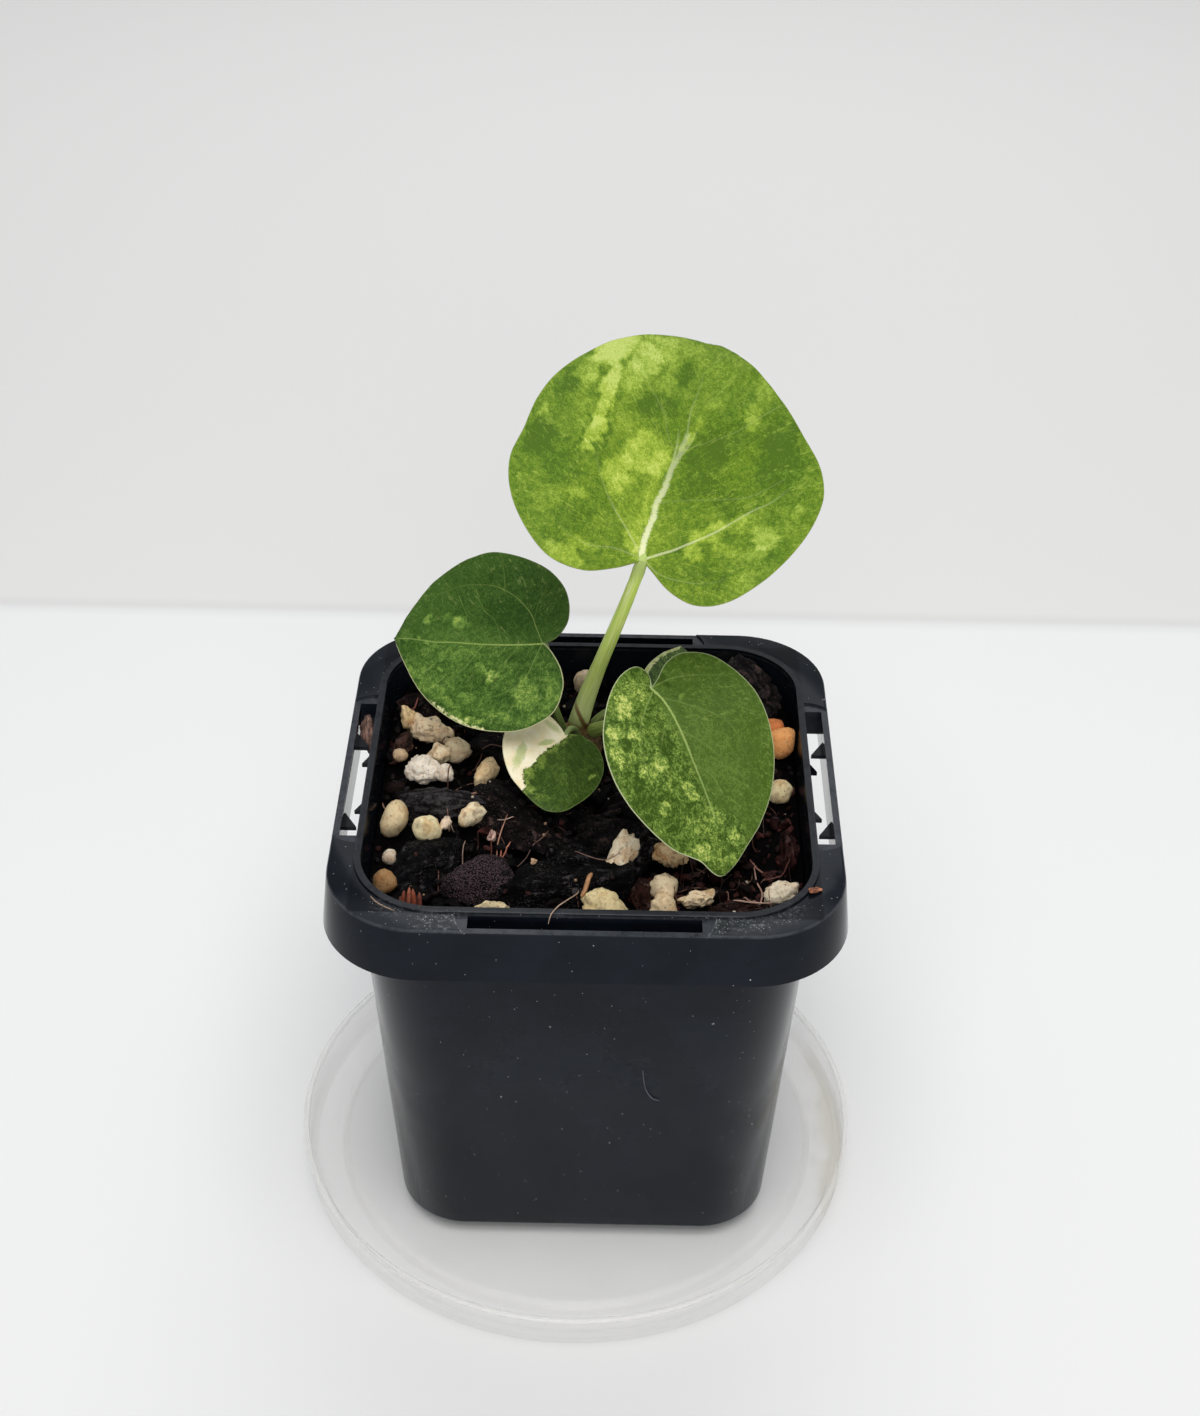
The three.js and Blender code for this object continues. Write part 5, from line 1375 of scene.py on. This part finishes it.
# the pale roots and fibres seen on the mix: points from the pot's centre, radius, tone
STRANDS = [
    ([(-32.4, 20.6), (-32, 22.3), (-31.6, 24.6)], 0.16, "8a4a3a"),
    ([(-36.0, -0.7), (-35.6, -2.1), (-34.9, -2.8)], 0.14, "b08a76"),
    ([(-25.8, -10), (-24.1, -9.5), (-22.9, -8.6)], 0.16, "c9b6a2"),
    ([(-16.2, -17.9), (-15.4, -15), (-15.2, -12.9), (-13.8, -8.3)], 0.13, "c08a74"),
    ([(-15.3, -17), (-14.2, -15.1), (-13, -13.6)], 0.16, "b4745c"),
    ([(-15.8, -17.4), (-14.8, -16), (-14.6, -13.8)], 0.18, "a8644c"),
    ([(-16.6, -17.2), (-16.2, -15.6), (-16.4, -13.6)], 0.12, "7c4436"),
    ([(-15.5, -8.8), (-14, -9.2), (-12.6, -8.9)], 0.09, "c6a493"),
    ([(-24.3, -6.2), (-23.9, -7.4), (-23.8, -9)], 0.12, "8e6a5c"),
    ([(-20.8, -19.8), (-21, -15.8), (-20.4, -12.1)], 0.10, "8f7466"),
    ([(-24.8, 1.4), (-24.6, 3.8), (-23.7, 6.3)], 0.12, "5e3a30"),
    ([(27.6, -14.6), (28.7, -16.5), (30.2, -18.3)], 0.17, "a8786a"),
    ([(28.2, -16), (28.4, -18.4), (28.6, -19.9), (29.3, -23), (28.9, -25.4), (28, -27.8),
      (27.2, -28.9)], 0.15, "c49a88"),
    ([(24.2, -28.4), (26.3, -28.8), (28.2, -29.4), (30.5, -29.0)], 0.15, "b89484"),
    ([(22.3, -24.2), (23.4, -24.9), (23.7, -26.2)], 0.12, "a97a68"),
    ([(25.9, -26.9), (26.4, -28), (27.2, -28.8)], 0.12, "a98272"),
    ([(-0.3, -3.1), (0.6, -3.7), (1.6, -4.5)], 0.11, "c79a84"),
    ([(29.8, -19.8), (32.2, -19.5), (34, -18.6)], 0.12, "6e3e36"),
    ([(-1.2, -28.2, 78.4), (-1.5, -30.8, 79.9), (-3.2, -34.8, 81.8), (-4.4, -37.0, 82.5),
      (-5.4, -38.9, 82.45), (-5.8, -40.3, 81.7)], 0.11, "b89c86"),
    ([(-34.5, -34.9, 82.2), (-33.6, -36.4, 82.45), (-32.2, -37.4, 82.3), (-30.4, -38.2, 82.1)],
     0.10, "a88c78"),
    ([(0.9, -25.4, 79.8), (0.4, -26.4, 79.5), (-0.2, -28.2, 78.4), (-0.8, -29.2, 78.0)], 0.42, "bd8a5c"),
    ([(10.1, -36.05, 45.4), (10.6, -35.85, 41.2), (11.8, -35.7, 38.5), (13.2, -35.65, 37.8)], 0.09, "5c6068"),
    ([(-12, -18), (-8, -14), (-6.6, -11)], 0.09, "77584e"),
    ([(-2, -19), (3, -20.6), (5.6, -19.8)], 0.08, "8c6a5e"),
    ([(16, -20), (20, -18.6), (23, -20.4)], 0.10, "6a4238"),
    ([(-30, 11), (-26.6, 14.2), (-24, 14)], 0.11, "5f3a30"),
    ([(-21, 9), (-18, 11.6), (-14, 11)], 0.10, "6d4a3c"),
]


# the upright splinters of a red-brown chip: where the first stands, how far apart they are, and
# each one's top and tone
SPLINTER_X, SPLINTER_Y, SPLINTER_STEP = -30.2, -31.7, 0.46
SPLINTERS = ((78.6, "5a281c"), (79.8, "8e4630"), (79.2, "43201a"), (80.5, "b0664a"),
             (79.7, "6a3024"), (80.2, "9a5038"), (79.0, "50241c"), (79.5, "7c4030"))

# the tones of what is drawn by the seeded rule
CHIP_TONES = {"red": ("1f1110", "34191a", "120a0b", "4a2420"),
              "dark": ("09080a", "0d0a0b", "140d0e", "08080a")}
CRUMB_TONES = {"red": ("28120f", "3a1d1b", "4a2622", "160c0d"),
               "dark": ("0e0a0b", "150e0f", "1d1213", "100c0f")}
PALE_CRUMB_TONES = ("d8d0c0", "c8b8a0", "b89878")
FIBRE_TONES = ("5a352b", "4a2a24", "6d4a3e", "7d5a4a", "3a221e")


def grains(name, bump_scale, strength, distance, rough, contrast, streaky=False, specular=0.5):
    """A finish for chunks: each keeps its own tone, varied over its surface."""
    f = Finish(name)
    where, base = f.stored("grain"), f.stored("tone")
    run = f.stretched(where, (0.25, 1.0, 1.0)) if streaky else where
    broad = f.noise(where, 0.35, 3, 0.6)
    fine = f.noise(run, bump_scale, 5, 0.68)
    shade = f.step(fine + 0.6 * (broad - 0.5), 0.28, 0.74)
    tone = f.mix(shade, f.times(base, (1 - contrast,) * 3), f.times(base, (1 + 0.55 * contrast,) * 3))
    normal = f.bump(fine, strength, distance)
    return f.done(Base_Color=tone, Roughness=rough, Normal=normal, Specular_IOR_Level=specular)


def charred(name, fibre_and_highlight, share, specular):
    """A finish for near-black chips: thin paler fibres, specks of grit, and painted shade and highlights."""
    f = Finish(name)
    where, base = f.stored("grain"), f.stored("tone")
    long = f.noise(f.stretched(where, (0.30, 2.0, 2.0)), 1.5, 5, 0.72, 0.6)
    rough = f.noise(where, 1.7, 5, 0.75)
    patch = f.noise(f.moved(where, (4.0, 1.0, 7.0)), 0.22, 3, 0.6)
    thin = f.step(long, 0.56 - share, 0.66 - share) * f.step(rough, 0.40, 0.60) * f.step(patch, 0.32, 0.56)
    specks = f.step(f.noise(where, 4.2, 3, 0.75), 0.60, 0.67) * f.step(patch, 0.40, 0.60)
    ridge = f.stored("ridge", "Fac")
    # the chip's low parts are painted darker and its raised parts left lighter: painted shade
    lit = f.step(rough + 0.4 * (ridge - 0.35), 0.4, 0.6)
    tone = f.mix(lit, f.times(base, (0.2, 0.2, 0.2)), base)
    # the chip's ridges carry a painted highlight in the fibres' tone
    edge = f.step(ridge + 0.9 * (rough - 0.5), 0.52, 0.72) * f.step(patch, 0.40, 0.56)
    tone = f.mix(f.larger(thin, 0.7 * edge), tone, fibre_and_highlight)
    tone = f.mix(0.9 * specks, tone, "8a807c")
    normal = f.bump(long + 0.8 * rough, 1.0, 0.7)
    return f.done(Base_Color=tone, Roughness=0.62 - 0.3 * specks, Normal=normal, Specular_IOR_Level=specular)


def cinder_grains():
    f = Finish("cinder")
    where, base = f.stored("grain"), f.stored("tone")
    fine = f.noise(where, 2.6, 4, 0.7)
    wander = f.stretched(f.noise(where, 1.2, 3, 0.5, output="Color"), (0.9, 0.9, 0.9))
    beads = f.cells(f.moved(where, wander), 4.0)
    patch = f.noise(where, 0.3, 3, 0.6)
    # the creases between the beads are painted near black: painted shade
    crease_shade = f.step(beads + 0.9 * (fine - 0.5), 0.36, 0.62)
    lit = f.mix(f.step(fine, 0.35, 0.65), base, f.times(base, (1.7, 1.6, 1.62)))
    tone = f.mix(crease_shade, lit, "0b0809")
    tone = f.mix(0.6 * f.step(patch, 0.5, 0.7), tone, f.times(tone, (0.35, 0.32, 0.34)))
    normal = f.bump(1 - beads + 0.5 * fine, 1.0, 0.6)
    return f.done(Base_Color=tone, Roughness=0.85, Normal=normal, Specular_IOR_Level=0.15)


def pale_stone(name, scale, strength, stain, low_brown_share):
    """A finish for the light stones: warm, rough, with beige stains, a few brown pits, and browner hollows.
    """
    f = Finish(name)
    where, base = f.stored("grain"), f.stored("tone")
    base = f.times(base, (1.12, 1.03, 0.93))
    broad = f.noise(where, 0.3, 4, 0.6, 0.5)
    fine = f.noise(where, scale, 6, 0.75)
    blot = f.step(f.noise(f.moved(where, (9.0, 2.0, 5.0)), 0.36, 5, 0.68, 0.6), 0.46, 0.66)
    pores = 1 - f.step(f.cells(f.moved(where, (1.0, 5.0, 2.0)), 1.1) + 0.4 * (fine - 0.5), 0.08, 0.18)
    tone = f.mix(f.step(broad, 0.35, 0.7), base, f.times(base, (1.05, 1.04, 1.02)))
    tone = f.mix(stain * blot, tone, f.times(base, "dba869"))
    tone = f.mix(0.6 * f.step(fine, 0.50, 0.66), tone, f.times(tone, "cdb48e"))
    # browner where the stone's surface lies low
    low_brown = 1 - f.step(f.stored("ridge", "Fac") + 0.5 * (fine - 0.5), -0.42, -0.12)
    tone = f.mix(f.larger(0.6 * pores, low_brown_share * low_brown), tone, "74502f")
    normal = f.bump(fine + 0.5 * broad - 0.4 * pores, strength, 0.4)
    return f.done(Base_Color=tone, Roughness=0.8, Normal=normal, Specular_IOR_Level=0.25)


def chunk_finishes():
    return {
        "bark": charred("bark_chips", "66504a", 0.0, 0.07),
        "small": grains("small_chips", 1.6, 1.0, 0.5, 0.55, 0.8, streaky=True, specular=0.08),
        "charcoal": charred("charcoal", "625d60", 0.0, 0.06),
        "cinder": cinder_grains(),
        "perlite": pale_stone("perlite", 1.9, 1.0, 0.26, 0.16),
        "pumice": pale_stone("pumice", 1.5, 0.9, 0.55, 0.45),
        "stone": pale_stone("round_stones", 1.7, 0.9, 0.5, 0.22),
    }


def on_stone(x, y, room):
    """Whether a place on the mix is on a light stone or nearer to it than the room given."""
    return any(math.hypot(x - stone[1], y - stone[2]) < 0.42 * stone[3] + room for stone in STONES)


def in_red_part(x, y):
    """The mix is finer and redder at its right side, but not far back."""
    return x > 13 and y < 10


def pick(tones):
    return tones[int(draw(0, len(tones)))]


def pick_for(x, y, tones):
    return pick(tones["red" if in_red_part(x, y) or draw() < 0.25 else "dark"])


def point_tone(code):
    return np.array(linear(code)[:3])


def packed_mix():
    """The mix as a closed body with a rough top. Gives the points and faces of that top."""
    half, corner, _ = body_level(MIX_TOP, POT_WALL + MIX_GAP)
    points = [(0.0, 0.0, 0.0)]
    for r in range(1, MIX_RINGS + 1):
        share = r / MIX_RINGS
        points += [(x, y, 0) for x, y in rounded_square(half * share, corner * share, MIX_CORNER_STEPS)]
    points = np.array(points)
    x, y = points[:, 0], points[:, 1]
    mound = 1.4 * np.exp(-((x - (STEM_X - POT_X)) ** 2 + (y - (STEM_Y - POT_Y)) ** 2) / 60)
    back = 1.6 * np.exp(-((x - 30) ** 2 + (y - 30) ** 2) / 90)
    rough = rough_noise(points, 3.2, 4, 2.0) * 0.75 + rough_noise(points, 1.1, 3, 7.0) * 0.35
    points[:, 2] = MIX_TOP - 1.8 + mound + back + 1.3 * rough
    count = 4 * (MIX_CORNER_STEPS + 1)
    faces = [(0, 1 + k, 1 + (k + 1) % count) for k in range(count)]
    for r in range(MIX_RINGS - 1):
        for k in range(count):
            a, b = 1 + r * count + k, 1 + r * count + (k + 1) % count
            faces.append((a, a + count, b + count, b))
    top = points, list(faces)

    start, low = len(points) - count, len(points)
    for z in (MIX_TOP - 3, 40, POT_FLOOR + MIX_GAP):
        half, corner, _ = body_level(z, POT_WALL + MIX_GAP)
        ring = [(x, y, z) for x, y in rounded_square(half, corner, MIX_CORNER_STEPS)]
        points = np.concatenate([points, ring])
        for k in range(count):
            n = (k + 1) % count
            faces.append((start + k, low + k, low + n, start + n))
        start, low = low, low + count
    faces.append(tuple(start + k for k in range(count))[::-1])
    ground = Heap()
    # the ground's near-black tone is partly the mix's own and partly painted shade for the gaps between the
    # chips
    ground.add(points + POT_SHIFT, faces, grain=points, tone=point_tone("0a0707"))
    ground.piece("mix_ground", grains("fine_mix", 1.4, 1.0, 0.9, 0.75, 0.85, specular=0.05))
    return top


def chunks(lying):
    """The named chunks and stones, and the smaller chips that fill the room between them. lying
    collects the body that the crumbs and fibres lie on."""
    finishes = chunk_finishes()
    heaps = {kind: Heap() for kind in finishes}

    def put(kind, shape, code, level, tilt=None):
        made, faces, grained, ridge = chunk(kind, shape, level, tilt)
        if shape[0] > OVER_THE_RIM:
            made = inside_pot(made)
        heaps[kind].add(made + POT_SHIFT, faces, grain=grained + np.array(shape[:3]), ridge=ridge,
                        tone=point_tone(code))
        lying.add(made, faces)

    for kind, *shape, code in CHUNKS + STONES:
        put(kind, shape, code, 4 if max(shape[2:4]) > 6 else 3)
    for _ in range(SMALL_CHIPS):
        x, y = draw(-35, 35), draw(-35, 35)
        length = draw(1.6, 4.4) if in_red_part(x, y) else draw(2.5, 7.5)
        if on_stone(x, y, 0.2 * length):
            continue
        shape = (x, y, length, length * draw(0.35, 0.7), draw(1.8, 3.8), draw(0, 360), draw(-2.4, -0.5))
        code = pick_for(x, y, CHIP_TONES)
        put("small", shape, code, 3 if length > 5.5 else 2, (draw(-38, 38), draw(-38, 38)))
    for *shape, middle, code in RIM_CHIPS:
        made, faces, grained, ridge = chunk("small", (*shape, middle - MIX_TOP), 3, (0, 10))
        heaps["small"].add(made, faces, grain=grained, ridge=ridge, tone=point_tone(code))
    for kind, heap in heaps.items():
        heap.piece(f"mix_{kind}", finishes[kind])


def crumbs(surface):
    heap = Heap()
    directions, faces = BALLS[1]
    for _ in range(CRUMBS):
        x, y = draw(-36, 36), draw(-36, 36)
        z = surface(x, y)
        size = draw(0.2, 0.95)
        keep = draw()
        if on_stone(x, y, 0.2) or z > MIX_TOP + (1.4 if keep > 0.97 else 0.3) and keep > 0.10:
            continue
        stretch = np.array([draw(0.7, 1.7), draw(0.5, 1.0), draw(0.4, 0.9)]) * size
        spin = np.array(Matrix.Rotation(draw(0, 6.28), 3, "Z"))
        body = directions * np.array([[draw(0.7, 1.25)] for _ in directions]) * stretch @ spin.T
        body = inside_pot(body + (x, y, z + 0.25 * size))
        heap.add(body + POT_SHIFT, faces, grain=body, tone=point_tone(pick_for(x, y, CRUMB_TONES)))
    for _ in range(PALE_CRUMBS):
        x, y = draw(-36, 36), draw(-36, 36)
        size = draw(0.12, 0.4)
        body = inside_pot(directions * size + (x, y, surface(x, y) + 0.3 * size))
        heap.add(body + POT_SHIFT, faces, grain=body, tone=point_tone(pick(PALE_CRUMB_TONES)))
    heap.piece("mix_crumbs", grains("crumbs", 1.8, 0.8, 0.4, 0.45, 0.6, specular=0.15))


def strands(surface):
    """The roots, the splinters and the fibres. A path without heights lies on the surface."""
    heap = Heap()

    def strand(path, radius, code, lift=0.0):
        spine = smooth_path(path, 6 * len(path))
        if spine.shape[1] == 2:
            heights = np.array([surface(x, y) for x, y in spine])
            smooth = np.convolve(np.pad(heights, 3, "edge"), np.ones(7) / 7, "valid")
            heights = np.maximum(smooth, heights - 0.3) + radius * 0.8 + lift
            spine = np.column_stack([spine, heights])
        radii = radius * np.interp(np.linspace(0, 1, len(spine)), (0, 0.2, 0.8, 1), (0.5, 1, 0.9, 0.3))
        made, faces, _ = tube(spine, radii, 6)
        heap.add(made + POT_SHIFT, faces, grain=made, tone=point_tone(code))

    for path, radius, code in STRANDS:
        strand(path, radius, code, 0.25)
    for k, (top, code) in enumerate(SPLINTERS):
        x, y = SPLINTER_X + SPLINTER_STEP * k, SPLINTER_Y
        foot, middle = (x, y, MIX_TOP - 0.5), (x, y + 0.3, 0.5 * (MIX_TOP + top))
        strand([foot, middle, (x + 0.25 * math.sin(2.3 * k), y + 1, top)], 0.38, code)
    for k in range(FIBRES):
        if k < FIBRES_ANYWHERE:
            x, y = draw(-33, 33), draw(-33, 33)
        else:
            x, y = draw(12, 34), draw(-33, 8)
        heading, reach, bend = draw(0, 6.28), draw(2, 7), draw(-0.6, 0.6)
        path = [(x, y)]
        for _ in range(3):
            heading += bend
            x, y = x + reach / 3 * math.cos(heading), y + reach / 3 * math.sin(heading)
            path.append((max(-35, min(35, x)), max(-35, min(35, y))))
        if surface(*path[1]) > MIX_TOP + 1.2:
            continue
        strand(path, draw(0.06, 0.14), pick(FIBRE_TONES))
    heap.piece("mix_strands", grains("fibres", 2.0, 0.4, 0.2, 0.6, 0.3))


def soil():
    lying = Heap()
    lying.add(*packed_mix())
    chunks(lying)
    lie = BVHTree.FromPolygons([Vector(p) for p in np.concatenate(lying.points)], lying.faces)

    def surface(x, y):
        """The height of what lies at a place from the pot's centre."""
        hit = lie.ray_cast(Vector((x, y, 100)), Vector((0, 0, -1)))[0]
        return hit.z if hit else MIX_TOP - 1

    crumbs(surface)
    strands(surface)


# The room

def table():
    """The floor, which turns to the wall's tone behind the plant, with painted shade and painted light in it.
    """
    f = Finish("pale_table")
    back = f.part(f.place(), 1)
    wall = f.step(back, WALL_AT - 2, WALL_AT + 1)
    border = 1 - f.step(abs(back - WALL_AT), 1.0, 5.0)
    # the floor is painted darker towards the front, painted shade, and the wall's tone lighter further back,
    # painted light against the lamps' falloff
    far = f.mix(f.step(back, 180.0, 700.0), "ecebea", "fffefc")
    near = f.mix(f.step(back, -260.0, 60.0), "e6e6e5", "f6f6f6")
    tone = f.mix(0.10 * border, f.mix(wall, near, far), "a0a0a0")
    sheet = bpy.data.meshes.new("table_top")
    reach = 6.0
    corners = [(-reach, -reach, 0), (reach, -reach, 0), (reach, reach, 0), (-reach, reach, 0)]
    sheet.from_pydata(corners, [], [(0, 1, 2, 3)])
    sheet.materials.append(f.done(Base_Color=tone, Roughness=0.7))
    top = bpy.data.objects.new("table_top", sheet)
    top.location.z = -0.00005
    bpy.context.scene.collection.objects.link(top)


def studio():
    table()
    world = bpy.data.worlds.new("studio")
    bpy.context.scene.world = world
    world.use_nodes = True
    sky = world.node_tree.nodes["Background"]
    sky.inputs["Color"].default_value = (0.94, 0.97, 1.0, 1)
    sky.inputs["Strength"].default_value = 0.36
    for name, spot, aim, size, power, tint in LAMPS:
        lamp = bpy.data.lights.new(name, "AREA")
        lamp.shape, lamp.size, lamp.energy, lamp.color = "DISK", size, power, tint
        holder = bpy.data.objects.new(name, lamp)
        holder.location = spot
        holder.rotation_euler = (Vector(aim) - Vector(spot)).to_track_quat("-Z", "Y").to_euler()
        bpy.context.scene.collection.objects.link(holder)
    bpy.context.scene.view_settings.view_transform = "Standard"


def camera():
    data = bpy.data.cameras.new("camera")
    data.lens, data.sensor_width = CAMERA_LENS, SENSOR
    data.clip_start, data.clip_end = 0.01, 20
    holder = bpy.data.objects.new("camera", data)
    turn = (Matrix.Rotation(math.radians(CAMERA_YAW), 4, "Z")
            @ Matrix.Rotation(math.radians(90 - CAMERA_PITCH), 4, "X")
            @ Matrix.Rotation(math.radians(CAMERA_ROLL), 4, "Z"))
    holder.matrix_world = Matrix.Translation(Vector(CAMERA_PLACE) * MM) @ turn
    bpy.context.scene.collection.objects.link(holder)
    bpy.context.scene.camera = holder


camera()
studio()
dish()
pot()
soil()
stem()
for each in LEAVES:
    stalk(each)
    leaf(each)
